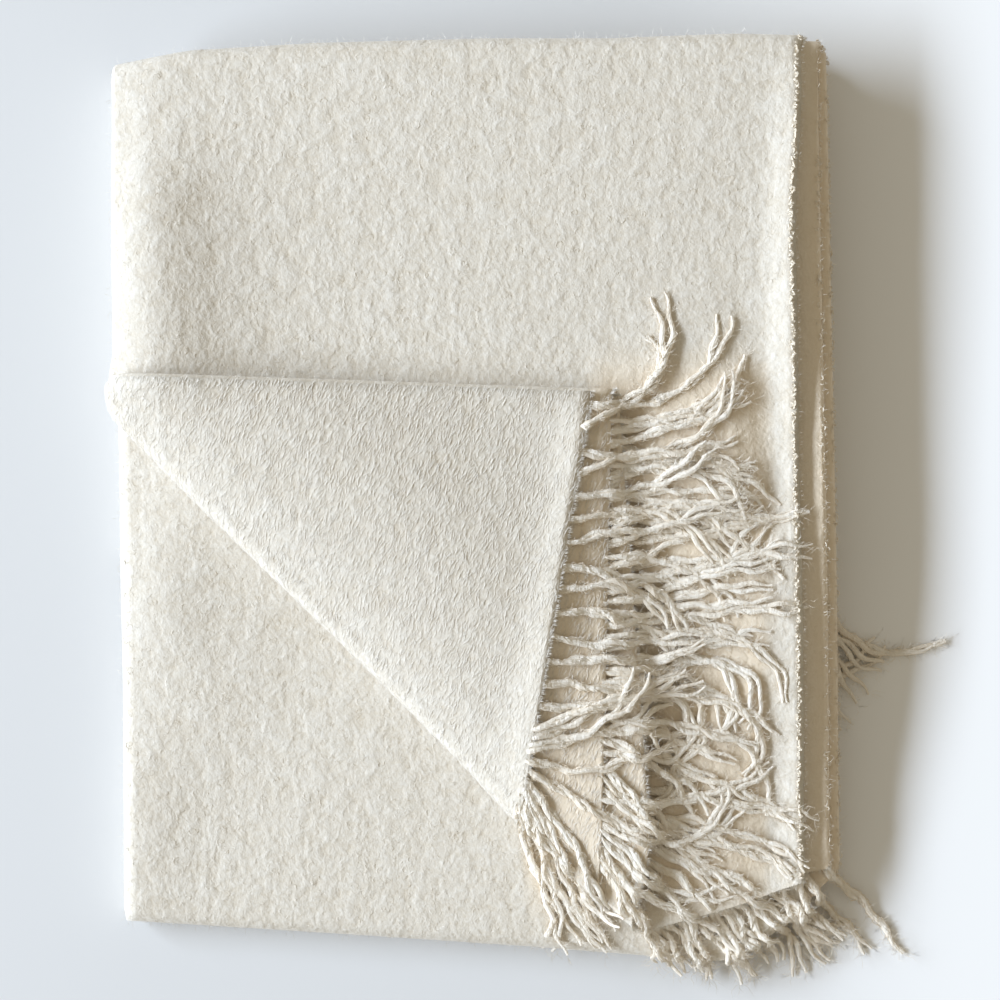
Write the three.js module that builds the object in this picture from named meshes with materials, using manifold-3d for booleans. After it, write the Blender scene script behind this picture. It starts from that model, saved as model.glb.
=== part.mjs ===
// Boucle throw, folded in three across and four along, with one corner of its top leg turned back.
// Millimetres, +Z up, +X across the folded throw, +Y from its near edge to its far edge.
// The origin is on the surface that it lies on, under the middle of the stack.
import * as THREE from 'three';
import { mergeVertices } from 'three/addons/utils/BufferGeometryUtils.js';
import Module from 'manifold-3d';

const wasm = await Module();
wasm.setup();

const { clamp, degToRad, lerp } = THREE.MathUtils;

// Driving sizes of the cloth and of its stack
const SHEET = 3.0;              // thickness of the cloth
const AIR = 0.8;                // space between neighbouring layers
const PITCH = SHEET + AIR;      // height that one layer takes
const STRIP = 3 * PITCH;        // height of one leg, which is three layers
const LEFT_FOLD = -238;         // outside of the left folds
const RIGHT_FOLD = 206;         // outside of the right fold
const LEAN = 0.021;             // sideways lean of the stack for each unit along it
const FAR_FOLD = 283.6;         // outside of the far folds, at the middle
const FAR_SLOPE = 0.0347;       // rise of the far fold towards the right
const FAR_STEP = 4;             // the lower far fold lies this much further in
const FAR_END = -38;            // where the bottom leg ends, under the stack
const TURN_STEPS = 5;           // flats around each half-round turn of a leg
const PLY_STEPS = 4;            // flats around each half-round fold across

// The three layers of a leg, from one selvedge to the other. Each runs across from one edge to the
// other, and its fringed near edge passes through three places before the corner is turned back.
const PLIES = [
  { level: PITCH, from: 191, to: LEFT_FOLD, endLeft: -252, endMiddle: -278, endRight: -232 },
  { level: 0, from: LEFT_FOLD, to: RIGHT_FOLD, endLeft: -250, endMiddle: -247, endRight: -229 },
  { level: -PITCH, from: RIGHT_FOLD, to: -231, endLeft: -242, endMiddle: -193, endRight: -226 },
];
const END_LEFT = -260;
const END_MIDDLE = 20;
const END_RIGHT = 200;

// How far each leg's right folds stand out past the top leg's
const LEG_REACH = [{ leg: 0, out: 0 }, { leg: 1, out: 7 }, { leg: 2, out: 4 }, { leg: 3, out: -3 }];

// The top layer's right selvedge is lifted off the layer under it
const LIFT = { from: 140, to: 182, height: 4.5, far: 245, near: 170 };

// Outside of the near fold, uneven and drawn in at its right end
const NEAR_FOLD = [
  { x: -232, y: -264 },
  { x: 20, y: -281 },
  { x: LIFT.from, y: -291 },
  { x: LIFT.to, y: -266 },
  { x: 205, y: -238 },
];
const COLUMNS = [20, LIFT.from, LIFT.to];

// Height of the lowest full leg over the surface: it lies on the short bottom leg at the far side and
// comes down over that leg's fringe to the surface at the near side
const SAG = [{ y: -190, rise: 0 }, { y: -35, rise: STRIP }];

// The corner turned back over a diagonal, and the extra width that the cloth takes up there
const CORNER = { x: -211, y: 38.8, angle: degToRad(-45.3), room: 0.5, steps: 5 };
const SPREAD = { width: 26, far: 95, near: 45 };
const CORNER_BEND = STRIP / 2 + CORNER.room;

// Fringe: the strip that carries a row, and one strand
const EDGE_GAP = 0.4;           // between the cloth's edge and the strip
const EDGE_STRIP = 5;           // width of the strip
const STRIP_STEPS = 12;
const STRIP_MARGIN = 6;         // the strip goes on past its end strands
const STRAND = {
  halfWide: 2.1, halfHigh: 1.6, rootHalf: 1.1, start: 3.5, steps: 8, droop: 0.75, rest: 0.3, clear: 2.4,
};
const FLOOR_STRAND_HALF = 1.5;  // half height of a strand that lies on the surface

// Each strand of the top row from the corner's point to its tip: heading where it leaves the edge and
// the turn that it makes on its way, in degrees from +X, the swing of its waves, and its length
const TOP_ROW = [
  { heading: -8, turn: 120, swing: 6, length: 108 }, { heading: 14, turn: 100, swing: 8, length: 96 },
  { heading: -10, turn: 62, swing: 10, length: 112 }, { heading: -6, turn: 118, swing: 8, length: 126 },
  { heading: -3, turn: 38, swing: 9, length: 104 }, { heading: 6, turn: 30, swing: 6, length: 98 },
  { heading: 13, turn: -55, swing: 8, length: 104 }, { heading: -24, turn: 30, swing: 9, length: 120 },
  { heading: 8, turn: -62, swing: 10, length: 108 }, { heading: -4, turn: 8, swing: 12, length: 126 },
  { heading: 2, turn: -22, swing: 10, length: 118 }, { heading: -6, turn: 16, swing: 12, length: 124 },
  { heading: 0, turn: -26, swing: 9, length: 112 }, { heading: -4, turn: 34, swing: 12, length: 118 },
  { heading: -12, turn: -18, swing: 10, length: 106 }, { heading: -22, turn: 46, swing: 12, length: 112 },
  { heading: -52, turn: -30, swing: 8, length: 100 }, { heading: -70, turn: 24, swing: 10, length: 104 },
];
const MIDDLE_ROW = [
  { heading: -4, turn: 84, swing: 10, length: 104 }, { heading: 4, turn: 70, swing: 8, length: 112 },
  { heading: -8, turn: 30, swing: 12, length: 118 }, { heading: 6, turn: -34, swing: 9, length: 110 },
  { heading: -10, turn: 18, swing: 12, length: 122 }, { heading: 2, turn: -40, swing: 10, length: 114 },
  { heading: -14, turn: 30, swing: 8, length: 120 }, { heading: 4, turn: -20, swing: 12, length: 116 },
  { heading: -12, turn: 24, swing: 10, length: 118 }, { heading: -4, turn: -32, swing: 12, length: 112 },
  { heading: -26, turn: 26, swing: 10, length: 116 }, { heading: -16, turn: -34, swing: 12, length: 108 },
  { heading: -40, turn: 38, swing: 10, length: 110 }, { heading: -62, turn: 20, swing: 12, length: 100 },
];
const BOTTOM_ROW = [
  { heading: 4, turn: 46, swing: 10, length: 100 }, { heading: -6, turn: 24, swing: 12, length: 108 },
  { heading: 8, turn: -26, swing: 10, length: 112 }, { heading: -8, turn: 14, swing: 12, length: 116 },
  { heading: 2, turn: -18, swing: 10, length: 114 }, { heading: -14, turn: 26, swing: 12, length: 118 },
  { heading: -10, turn: -24, swing: 10, length: 110 }, { heading: -30, turn: 30, swing: 12, length: 112 },
  { heading: -36, turn: -16, swing: 10, length: 104 }, { heading: -58, turn: 34, swing: 12, length: 96 },
];
const FLAT_TOP_ROW = [
  { heading: -70, turn: 20, swing: 16, length: 62 }, { heading: -58, turn: -34, swing: 18, length: 70 },
  { heading: -48, turn: -40, swing: 16, length: 76 }, { heading: -66, turn: 40, swing: 18, length: 66 },
  { heading: -42, turn: -52, swing: 14, length: 80 }, { heading: -54, turn: 26, swing: 18, length: 62 },
  { heading: -76, turn: 44, swing: 16, length: 58 },
];
const FLAT_LOW_ROW = [
  { heading: -64, turn: 12, swing: 6, length: 92 }, { heading: -54, turn: 6, swing: 6, length: 88 },
  { heading: -42, turn: -10, swing: 6, length: 90 },
];
const FAR_ROW = [
  { heading: -58, turn: 84, swing: 8, length: 150 }, { heading: -54, turn: -52, swing: 10, length: 96 },
  { heading: -70, turn: 112, swing: 8, length: 138 }, { heading: -70, turn: -36, swing: 8, length: 90 },
];
const FAR_PLAIN = { count: 12, heading: -90, turn: 0, swing: 7, length: 92 };
const FAR_EDGE = { left: -214, right: 184, rootPitch: 17 };

// The rows of the near end's fringe, from the lowest to the highest: each lies over the ones before it.
// Each hangs on one layer, between two places across it, on the flat part or on the corner turned back.
const FRINGE = [
  { name: 'fringe_flat_low', ply: 2, turned: false, from: 160, to: 196, strands: FLAT_LOW_ROW },
  { name: 'fringe_flat_top', ply: 0, turned: false, from: 92, to: 182, strands: FLAT_TOP_ROW },
  { name: 'fringe_flap_low', ply: 0, turned: true, from: -220, to: 30, strands: BOTTOM_ROW },
  { name: 'fringe_flap_middle', ply: 1, turned: true, from: -226, to: 24, strands: MIDDLE_ROW },
  { name: 'fringe_flap_top', ply: 2, turned: true, from: -228, to: -6, strands: TOP_ROW },
];
const WAVES = 1.6;              // waves along a strand
const WAVE_STEP = 0.37;         // share of a wave by which each strand starts later than the last

const WOOL = { color: 0xe0d9cb, roughness: 0.95, metalness: 0 };
const clothMaterial = new THREE.MeshStandardMaterial({ name: 'boucle', ...WOOL });
const fringeMaterial = new THREE.MeshStandardMaterial({ name: 'fringe', ...WOOL, color: 0xe6dfd0 });

// Heights of the middles of the four legs, top leg first
const LEG_MIDDLE = [3.5, 2.5, 1.5, 0.5].map((legs) => legs * STRIP - AIR / 2);
const BOTTOM_LEG_TOP = STRIP - AIR / 2;

/** Straight-line value between the rows of a table, held at its first and last row. */
function between(table, key, value, at) {
  const next = table.findIndex((row) => row[key] >= at);
  if (next < 0) return table.at(-1)[value];
  if (next === 0) return table[0][value];
  const [a, b] = [table[next - 1], table[next]];
  return lerp(a[value], b[value], (at - a[key]) / (b[key] - a[key]));
}

/** Place of a layer's fringed near edge along the throw, before the corner is turned back. */
function plyEnd(index, x) {
  const { endLeft, endMiddle, endRight } = PLIES[index];
  const rows = [
    { x: END_LEFT, y: endLeft },
    { x: END_MIDDLE, y: endMiddle },
    { x: END_RIGHT, y: endRight },
  ];
  return between(rows, 'x', 'y', x);
}

/** Near edge at a place between two layers, as on the folds that join them. */
function nearEnd(ply, x) {
  const low = Math.floor(ply);
  return lerp(plyEnd(low, x), plyEnd(Math.min(low + 1, 2), x), ply - low);
}

const spreadAt = (y) => SPREAD.width * clamp((SPREAD.far - y) / (SPREAD.far - SPREAD.near), 0, 1);

/** Place across the stack: the lean, the right folds' reach, and the top leg's spread at its corner. */
function across(x, y, leg) {
  const reach = between(LEG_REACH, 'leg', 'out', leg) * clamp(x / RIGHT_FOLD, 0, 1);
  const spread = leg === 0 ? spreadAt(y) * clamp(x / LEFT_FOLD, 0, 1) : 0;
  return x - LEAN * y + reach - spread;
}

const farFold = (x, leg) => FAR_FOLD + FAR_SLOPE * x - STRIP - (leg > 0 ? FAR_STEP : 0);
const nearFold = (x) => between(NEAR_FOLD, 'x', 'y', x) + STRIP;

/** Outline of a leg's section: its three layers as one back-and-forth sheet. */
function stripOutline() {
  const bend = PITCH / 2;
  const inset = bend + SHEET / 2;
  const middle = [];
  PLIES.forEach((ply, index) => {
    const heading = Math.sign(ply.to - ply.from);
    const start = index === 0 ? ply.from : ply.from + heading * inset;
    const stop = index === 2 ? ply.to : ply.to - heading * inset;
    const inner = COLUMNS.filter((x) => (x - start) * heading > 0 && (stop - x) * heading > 0);
    const stops = [start, ...(heading > 0 ? inner : inner.toReversed()), stop];
    for (const x of stops) middle.push({ x, n: ply.level, ply: index, side: 0, up: -heading });
    if (index === 2) return;
    for (let k = 1; k < PLY_STEPS; k++) {
      const angle = (Math.PI * k) / PLY_STEPS;
      middle.push({
        x: stop + heading * bend * Math.sin(angle),
        n: ply.level - bend + bend * Math.cos(angle),
        ply: index + k / PLY_STEPS,
        side: -Math.sin(angle),
        up: -heading * Math.cos(angle),
      });
    }
  });
  const face = (p, half) => ({ x: p.x + half * p.side, n: p.n + half * p.up, ply: p.ply });
  return [...middle.map((p) => face(p, SHEET / 2)), ...middle.toReversed().map((p) => face(p, -SHEET / 2))];
}

/** Point of a leg's section at a place along the leg. Every second leg lies face down. */
function legPoint(leg, p, y) {
  const up = leg % 2 === 0 ? 1 : -1;
  return new THREE.Vector3(across(p.x, y, leg), y, LEG_MIDDLE[leg] + up * p.n);
}

/** Point of the half-round turn from a leg to the one under it, at the far and near edge by turns. */
function turnPoint(leg, p, y, angle) {
  const out = leg % 2 === 0 ? 1 : -1;
  const radius = STRIP / 2 + out * p.n;
  const centre = (LEG_MIDDLE[leg] + LEG_MIDDLE[leg + 1]) / 2;
  return new THREE.Vector3(
    across(p.x, y, leg + angle / Math.PI),
    y + out * radius * Math.sin(angle),
    centre + radius * Math.cos(angle),
  );
}

/** The section's places along the throw, from the near end of the top leg to the far end. */
function stripStations() {
  const stations = [(p) => legPoint(0, p, nearEnd(p.ply, p.x))];
  for (const y of [SPREAD.near, SPREAD.far, LIFT.near, LIFT.far]) stations.push((p) => legPoint(0, p, y));
  for (let leg = 0; leg < 3; leg++) {
    const fold = (x) => (leg === 1 ? nearFold(x) : farFold(x, leg));
    for (let k = 0; k <= TURN_STEPS; k++) {
      const angle = (Math.PI * k) / TURN_STEPS;
      stations.push((p) => turnPoint(leg, p, fold(p.x), angle));
    }
  }
  stations.push((p) => legPoint(3, p, FAR_END));
  return stations;
}

/** Triangles of the skin over a row of rings, closed by the given triangles at both ends. */
function loft(rings, caps) {
  const count = rings[0].length;
  const triangles = [];
  for (let j = 0; j + 1 < rings.length; j++) {
    for (let i = 0; i < count; i++) {
      const k = (i + 1) % count;
      triangles.push([rings[j][i], rings[j][k], rings[j + 1][k]]);
      triangles.push([rings[j][i], rings[j + 1][k], rings[j + 1][i]]);
    }
  }
  const [first, last] = [rings[0], rings.at(-1)];
  for (const [a, b, c] of caps) {
    triangles.push([first[a], first[c], first[b]]);
    triangles.push([last[a], last[b], last[c]]);
  }
  return triangles.map((corners) => corners.map((p) => p.clone()));
}

// Corners of a four-sided section, and the triangles that cap it
const SQUARE = [[-1, -1], [1, -1], [1, 1], [-1, 1]];
const SQUARE_CAPS = [[0, 1, 2], [0, 2, 3]];

/** Cap of a band's outline, which runs along one face and back along the other. */
function bandCaps(count) {
  const caps = [];
  for (let k = 0; k + 1 < count / 2; k++) {
    caps.push([k, k + 1, count - 2 - k]);
    caps.push([k, count - 2 - k, count - 1 - k]);
  }
  return caps;
}

/** Cut the triangles along the line where side(point) is zero, so that the sheet can bend there. */
function crease(triangles, side) {
  const snap = 0.02;
  const fan = (points) => points.slice(2).map((p, i) => [points[0], points[i + 1], p]);
  return triangles.flatMap((triangle) => {
    const signs = triangle.map((p) => (Math.abs(side(p)) < snap ? 0 : side(p)));
    if (!signs.some((s) => s > 0) || !signs.some((s) => s < 0)) return [triangle];
    const [above, below] = [[], []];
    triangle.forEach((a, i) => {
      const next = (i + 1) % 3;
      if (signs[i] >= 0) above.push(a);
      if (signs[i] <= 0) below.push(a);
      if (signs[i] * signs[next] >= 0) return;
      const cut = a.clone().lerp(triangle[next], signs[i] / (signs[i] - signs[next]));
      above.push(cut);
      below.push(cut);
    });
    return [...fan(above), ...fan(below)].map((corners) => corners.map((p) => p.clone()));
  });
}

const cornerSide = { x: Math.sin(CORNER.angle), y: -Math.cos(CORNER.angle) };
const pastCorner = (x, y) => (x - CORNER.x) * cornerSide.x + (y - CORNER.y) * cornerSide.y;

/** Lift of the top layer's right selvedge. */
function liftAt(x, y) {
  const acrossShare = clamp((x + LEAN * y - LIFT.from) / (LIFT.to - LIFT.from), 0, 1);
  const alongShare = clamp((LIFT.far - y) / (LIFT.far - LIFT.near), 0, 1);
  return LIFT.height * acrossShare * alongShare;
}

const isTopLeg = (p) => p.z > LEG_MIDDLE[0] - STRIP / 2;

/** Turn a point of the flat top leg back around the corner's diagonal, as a sheet rolls round a rod. */
function turnBack(p) {
  const past = pastCorner(p.x, p.y);
  if (!isTopLeg(p) || past <= 0) return;
  const around = Math.min(past / CORNER_BEND, Math.PI);
  const radius = CORNER_BEND - (p.z - LEG_MIDDLE[0]);
  const reach = radius * Math.sin(around) - Math.max(past - Math.PI * CORNER_BEND, 0);
  p.x += (reach - past) * cornerSide.x;
  p.y += (reach - past) * cornerSide.y;
  p.z = LEG_MIDDLE[0] + CORNER_BEND - radius * Math.cos(around);
}

/** Height of a point of the level stack once it has sagged over the short bottom leg. */
function settledHeight(y, z) {
  return z > BOTTOM_LEG_TOP ? z - STRIP + between(SAG, 'y', 'rise', y) : z;
}

/** Give flat triangles the lift, the turned-back corner and the sag. */
function drape(flat) {
  const topLayer = flat.flat().filter((p) => p.z > LEG_MIDDLE[0] + PITCH / 2);
  for (const p of topLayer) p.z += liftAt(p.x, p.y);
  const isOnFloor = (p) => p.z < BOTTOM_LEG_TOP;
  const bottomLeg = flat.filter((corners) => corners.every(isOnFloor));
  const middleLegs = flat.filter((corners) => !corners.every(isOnFloor) && !corners.every(isTopLeg));
  let topLeg = flat.filter((corners) => corners.every(isTopLeg));
  for (let k = 0; k <= CORNER.steps; k++) {
    const line = (Math.PI * CORNER_BEND * k) / CORNER.steps;
    topLeg = crease(topLeg, (p) => pastCorner(p.x, p.y) - line);
  }
  for (const p of topLeg.flat()) turnBack(p);
  let sagging = [...topLeg, ...middleLegs];
  for (const row of SAG) sagging = crease(sagging, (p) => p.y - row.y);
  for (const p of sagging.flat()) p.z = settledHeight(p.y, p.z);
  return [...sagging, ...bottomLeg];
}

/** Closed geometry of a set of triangles, with shared corners merged and faces pointing out. */
function closedGeometry(triangles) {
  const volume = triangles.reduce((sum, [a, b, c]) => sum + a.dot(b.clone().cross(c)), 0);
  const outward = volume < 0 ? triangles.map(([a, b, c]) => [a, c, b]) : triangles;
  const geometry = new THREE.BufferGeometry().setFromPoints(outward.flat());
  return mergeVertices(geometry, 1e-4);
}

/** Solid of a closed geometry. */
function solidOf(geometry) {
  return new wasm.Manifold(new wasm.Mesh({
    numProp: 3,
    vertProperties: new Float32Array(geometry.attributes.position.array),
    triVerts: new Uint32Array(geometry.index.array),
  }));
}

/** Geometry of a solid. */
function geometryOf(solid) {
  const mesh = solid.getMesh();
  const geometry = new THREE.BufferGeometry();
  geometry.setAttribute('position', new THREE.BufferAttribute(mesh.vertProperties, 3));
  geometry.setIndex(new THREE.BufferAttribute(mesh.triVerts, 1));
  return geometry;
}

/** The folded cloth: the strip's section carried along the back-and-forth legs, then draped. */
function foldedCloth() {
  const outline = stripOutline();
  const rings = stripStations().map((station) => outline.map(station));
  return closedGeometry(drape(loft(rings, bandCaps(outline.length))));
}

/** Whether a place of the flat top leg lies on a layer or on the strip along its near edge. */
function onPly(index, x, y, strip) {
  const flatX = x + LEAN * y;
  const right = Math.max(PLIES[index].from, PLIES[index].to);
  return flatX > LEFT_FOLD - spreadAt(y) && flatX < right && y > plyEnd(index, flatX) - strip;
}

/** Height of the highest cloth under a place and under a row's layer, or of the surface beside it. */
function topAt(x, y, row) {
  const past = pastCorner(x, y);
  const legX = (x + LEAN * y) / (1 + LEG_REACH[1].out / RIGHT_FOLD);
  const onLegs = legX > LEFT_FOLD && legX < RIGHT_FOLD;
  const heights = [0];
  if (onLegs && y > between(NEAR_FOLD, 'x', 'y', legX)) heights.push(LEG_MIDDLE[1] + STRIP / 2);
  const mirror = Math.PI * CORNER_BEND - 2 * past;
  const [backX, backY] = [x + mirror * cornerSide.x, y + mirror * cornerSide.y];
  PLIES.forEach((ply, index) => {
    const strip = EDGE_GAP + EDGE_STRIP + STRAND.halfWide;
    const isUnder = row.turned || index > row.ply;
    if (isUnder && past < 0 && onPly(index, x, y, strip)) {
      heights.push(LEG_MIDDLE[0] + ply.level + SHEET / 2 + (index === 0 ? liftAt(x, y) : 0));
    }
    if (index < row.ply && past < CORNER_BEND && onPly(index, backX, backY, strip)) {
      heights.push(LEG_MIDDLE[0] + 2 * CORNER_BEND - ply.level + SHEET / 2);
    }
  });
  return settledHeight(y, Math.max(...heights));
}

/** Where a row's strand leaves its strip. */
function strandRoot(index, x) {
  const y = plyEnd(index, x) - EDGE_GAP - EDGE_STRIP / 2;
  const p = new THREE.Vector3(across(x, y, 0), y, LEG_MIDDLE[0] + PLIES[index].level);
  if (index === 0) p.z += liftAt(p.x, p.y);
  turnBack(p);
  p.z = settledHeight(p.y, p.z);
  return p;
}

/** A strand's way over the surface, seen from above: a heading that turns and swings as it goes. */
function strandPlan(root, row, number) {
  const points = [root.clone()];
  for (let k = 0; k <= STRAND.steps; k++) {
    const step = k === 0 ? STRAND.start : (row.length - STRAND.start) / STRAND.steps;
    const share = k / STRAND.steps;
    const swing = row.swing * Math.sin(2 * Math.PI * (WAVES * share + WAVE_STEP * number));
    const heading = degToRad(row.heading + row.turn * share * share + swing);
    const ahead = new THREE.Vector3(Math.cos(heading), Math.sin(heading), 0);
    points.push(points.at(-1).clone().addScaledVector(ahead, step));
  }
  return points;
}

const laid = [];                // points along the strands that already lie in place
const SAMPLES = 5;              // points looked at along each step of a strand

/** Points along a strand's steps, each with the step that it lies on. */
function strandSamples(points) {
  const samples = [];
  for (let k = 0; k + 1 < points.length; k++) {
    for (let i = 0; i < SAMPLES; i++) {
      samples.push({ step: k, at: points[k].clone().lerp(points[k + 1], (i + 0.5) / SAMPLES) });
    }
  }
  return samples;
}

/** Lay a strand on the cloth and over the strands before it: it is raised until it clears them all. */
function layStrand(points, length, row) {
  const wide = 2 * STRAND.halfWide + STRAND.clear;
  const high = 2 * STRAND.halfHigh + STRAND.rest;
  const overCloth = (p) => topAt(p.x, p.y, row) + STRAND.halfHigh + STRAND.rest;
  const least = points.map(overCloth);
  for (const { step, at } of strandSamples(points).slice(SAMPLES)) {
    const under = laid.filter((q) => Math.hypot(q.x - at.x, q.y - at.y) < wide).map((q) => q.z + high);
    const clear = Math.max(overCloth(at), ...under);
    least[step] = Math.max(least[step], clear);
    least[step + 1] = Math.max(least[step + 1], clear);
  }
  least[0] = points[0].z;
  const drop = (STRAND.droop * length) / STRAND.steps;
  points.forEach((p, k) => {
    p.z = k === 0 ? p.z : Math.max(...least.map((z, i) => z - drop * Math.abs(i - k)));
  });
  laid.push(...strandSamples(points).map((sample) => sample.at));
}

/** A four-sided strand along its points, slimmer at its root. */
function strandSolid(points, halfHigh) {
  const rings = points.map((p, k) => {
    const ahead = points[Math.min(k + 1, points.length - 1)].clone().sub(points[Math.max(k - 1, 0)]);
    const side = new THREE.Vector3(-ahead.y, ahead.x, 0).normalize();
    const wide = k === 0 ? STRAND.rootHalf : STRAND.halfWide;
    const high = k === 0 ? Math.min(STRAND.rootHalf, halfHigh) : halfHigh;
    return SQUARE.map(([s, u]) => {
      return p.clone().addScaledVector(side, s * wide).add(new THREE.Vector3(0, 0, u * high));
    });
  });
  return solidOf(closedGeometry(loft(rings, SQUARE_CAPS)));
}

/** The narrow strip beside a layer's near edge, draped as the cloth is. */
function edgeStrip(index, fromX, toX) {
  const level = LEG_MIDDLE[0] + PLIES[index].level;
  const places = COLUMNS.filter((x) => x > fromX && x < toX);
  for (let k = 0; k <= STRIP_STEPS; k++) places.push(lerp(fromX, toX, k / STRIP_STEPS));
  const rings = places.sort((a, b) => a - b).map((x) => {
    const outer = plyEnd(index, x) - EDGE_GAP;
    const inner = outer - EDGE_STRIP;
    const corners = [[outer, -1], [inner, -1], [inner, 1], [outer, 1]];
    return corners.map(([y, up]) => new THREE.Vector3(across(x, y, 0), y, level + (up * SHEET) / 2));
  });
  return solidOf(closedGeometry(drape(loft(rings, SQUARE_CAPS))));
}

/** One row of fringe on the near edge of a layer: its strip with the strands fused into it. */
function fringeRow(row) {
  const strands = row.strands.map((strand, number) => {
    const x = lerp(row.from, row.to, number / (row.strands.length - 1));
    const points = strandPlan(strandRoot(row.ply, x), strand, number + row.ply);
    layStrand(points, strand.length, row);
    return strandSolid(points, STRAND.halfHigh);
  });
  const backing = edgeStrip(row.ply, row.from - STRIP_MARGIN, row.to + STRIP_MARGIN);
  return geometryOf(wasm.Manifold.union([backing, ...strands]));
}

/** The far end's fringe, lying level on the surface under the stack and fanning out at the right. */
function farFringe() {
  const { left, right, rootPitch } = FAR_EDGE;
  const y = FAR_END - EDGE_GAP - EDGE_STRIP / 2;
  const strip = [left - STRIP_MARGIN, right + STRIP_MARGIN].map((x) => {
    return SQUARE.map(([a, up]) => {
      return new THREE.Vector3(x - LEAN * y, y + (a * EDGE_STRIP) / 2, FLOOR_STRAND_HALF * (1 + up));
    });
  });
  const rows = FAR_ROW.map((row, number) => ({ row, x: right - rootPitch * number }));
  const span = rows.at(-1).x - rootPitch - left;
  for (let k = 0; k < FAR_PLAIN.count; k++) {
    rows.push({ row: FAR_PLAIN, x: left + (span * k) / (FAR_PLAIN.count - 1) });
  }
  const strands = rows.map(({ row, x }, number) => {
    const points = strandPlan(new THREE.Vector3(x - LEAN * y, y, 0), row, number);
    for (const p of points) p.z = FLOOR_STRAND_HALF;
    laid.push(...strandSamples(points).map((sample) => sample.at));
    return strandSolid(points, FLOOR_STRAND_HALF);
  });
  return geometryOf(wasm.Manifold.union([solidOf(closedGeometry(loft(strip, SQUARE_CAPS))), ...strands]));
}

/** A named piece of the throw. */
function piece(name, geometry, material) {
  const mesh = new THREE.Mesh(geometry, material);
  mesh.name = name;
  return mesh;
}

const throwGroup = new THREE.Group();
throwGroup.add(
  piece('cloth', foldedCloth(), clothMaterial),
  piece('fringe_far_end', farFringe(), fringeMaterial),
  ...FRINGE.map((row) => piece(row.name, fringeRow(row), fringeMaterial)),
);

export default throwGroup;
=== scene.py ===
"""Looks of a folded boucle throw: its curled and brushed cloth, its fringe, and a plain studio.

Sizes in the classes are millimetres in the throw's own frame: +Z up, +X across the folded stack, +Y from
its near edge to its far edge, with the origin on the surface under the stack. Meshes are in metres.
"""

from __future__ import annotations

import logging
from dataclasses import dataclass, field, replace
from enum import Enum, IntEnum
from typing import NamedTuple

import bpy
import numpy as np
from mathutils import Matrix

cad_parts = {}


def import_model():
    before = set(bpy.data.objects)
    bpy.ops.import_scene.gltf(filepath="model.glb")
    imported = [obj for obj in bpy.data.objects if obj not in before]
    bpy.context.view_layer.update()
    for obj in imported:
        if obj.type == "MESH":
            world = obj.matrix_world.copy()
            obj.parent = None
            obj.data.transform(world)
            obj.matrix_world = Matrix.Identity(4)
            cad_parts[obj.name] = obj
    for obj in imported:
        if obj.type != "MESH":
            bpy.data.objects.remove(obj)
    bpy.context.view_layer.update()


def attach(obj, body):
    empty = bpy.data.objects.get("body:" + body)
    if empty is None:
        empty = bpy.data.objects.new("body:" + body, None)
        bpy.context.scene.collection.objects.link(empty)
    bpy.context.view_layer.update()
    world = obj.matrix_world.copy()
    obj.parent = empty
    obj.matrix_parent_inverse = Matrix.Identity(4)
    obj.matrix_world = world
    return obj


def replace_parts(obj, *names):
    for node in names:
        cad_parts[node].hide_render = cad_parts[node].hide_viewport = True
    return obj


LOG = logging.getLogger("throw")
MM = 0.001
BODY = "root"
TURN = 2.0 * np.pi
LEGS = 4
PLIES = 3

# Lowest and highest place that a fibre may reach.
LOWEST = 0.1
HIGHEST = 72.0

# Sides of a fibre, points of one spindle, and the seeds of the random draws.
FIBRE_SIDES = 3
SPINDLE_POINTS = FIBRE_SIDES + 2
PILE_SEED = 7
FAR_SEED = 39
YARN_SEED = 40
LOOSE_SEED = 70

Array = np.ndarray
Part = tuple[Array, list[Array], Array]
Colour = tuple[float, float, float]
Span = tuple[float, float]
Table = tuple[float, ...]
Random = np.random.Generator
Material = bpy.types.Material
Piece = bpy.types.Object
Socket = bpy.types.NodeSocket


def smooth_step(low: float, high: float, at: Array) -> Array:
    """Soft rise t*t*(3 - 2t) of the straight share t, from 0 at low to 1 at high."""
    share = np.clip((at - low) / (high - low), 0.0, 1.0)
    return share * share * (3.0 - 2.0 * share)


def soft_table(places: Table, values: Table, at: Array, blur: float) -> Array:
    """Straight-line table with rounded corners: the mean of seven looks up to a blur away."""
    offsets = np.linspace(-blur, blur, 7)
    return np.mean([np.interp(at + offset, places, values) for offset in offsets], axis=0)


def unit(vectors: Array) -> Array:
    """Vectors of length one in the same directions."""
    return vectors / np.maximum(np.linalg.norm(vectors, axis=-1, keepdims=True), 1e-9)


def perpendicular(vectors: Array) -> Array:
    """A level unit vector at a right angle to each vector.

    Args:
        vectors: (..., 3) directions.

    Returns:
        (..., 3) directions (-y, x, 0), or +X beside an upright vector.
    """
    level = np.stack([-vectors[..., 1], vectors[..., 0], np.zeros(vectors.shape[:-1])], axis=-1)
    upright = np.linalg.norm(level, axis=-1, keepdims=True) < 1e-6
    return unit(np.where(upright, np.array([1.0, 0.0, 0.0]), level))


def ring(first: Array, second: Array, sides: int) -> Array:
    """Directions around a line: cos(angle) * first + sin(angle) * second, as (..., sides, 3)."""
    angle = TURN * np.arange(sides)[:, None] / sides
    return np.cos(angle) * first[..., None, :] + np.sin(angle) * second[..., None, :]


def distance_along(line: Array) -> Array:
    """Distance along a line from its first point to each point: the sum of its steps."""
    return np.concatenate([[0.0], np.cumsum(np.linalg.norm(np.diff(line, axis=0), axis=1))])


def between(at: Array, places: Array, rows: Array) -> Array:
    """Vectors of a table of (N, 3) rows, with straight lines between its places."""
    return np.stack([np.interp(at, places, rows[:, axis]) for axis in range(3)], axis=-1)


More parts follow.
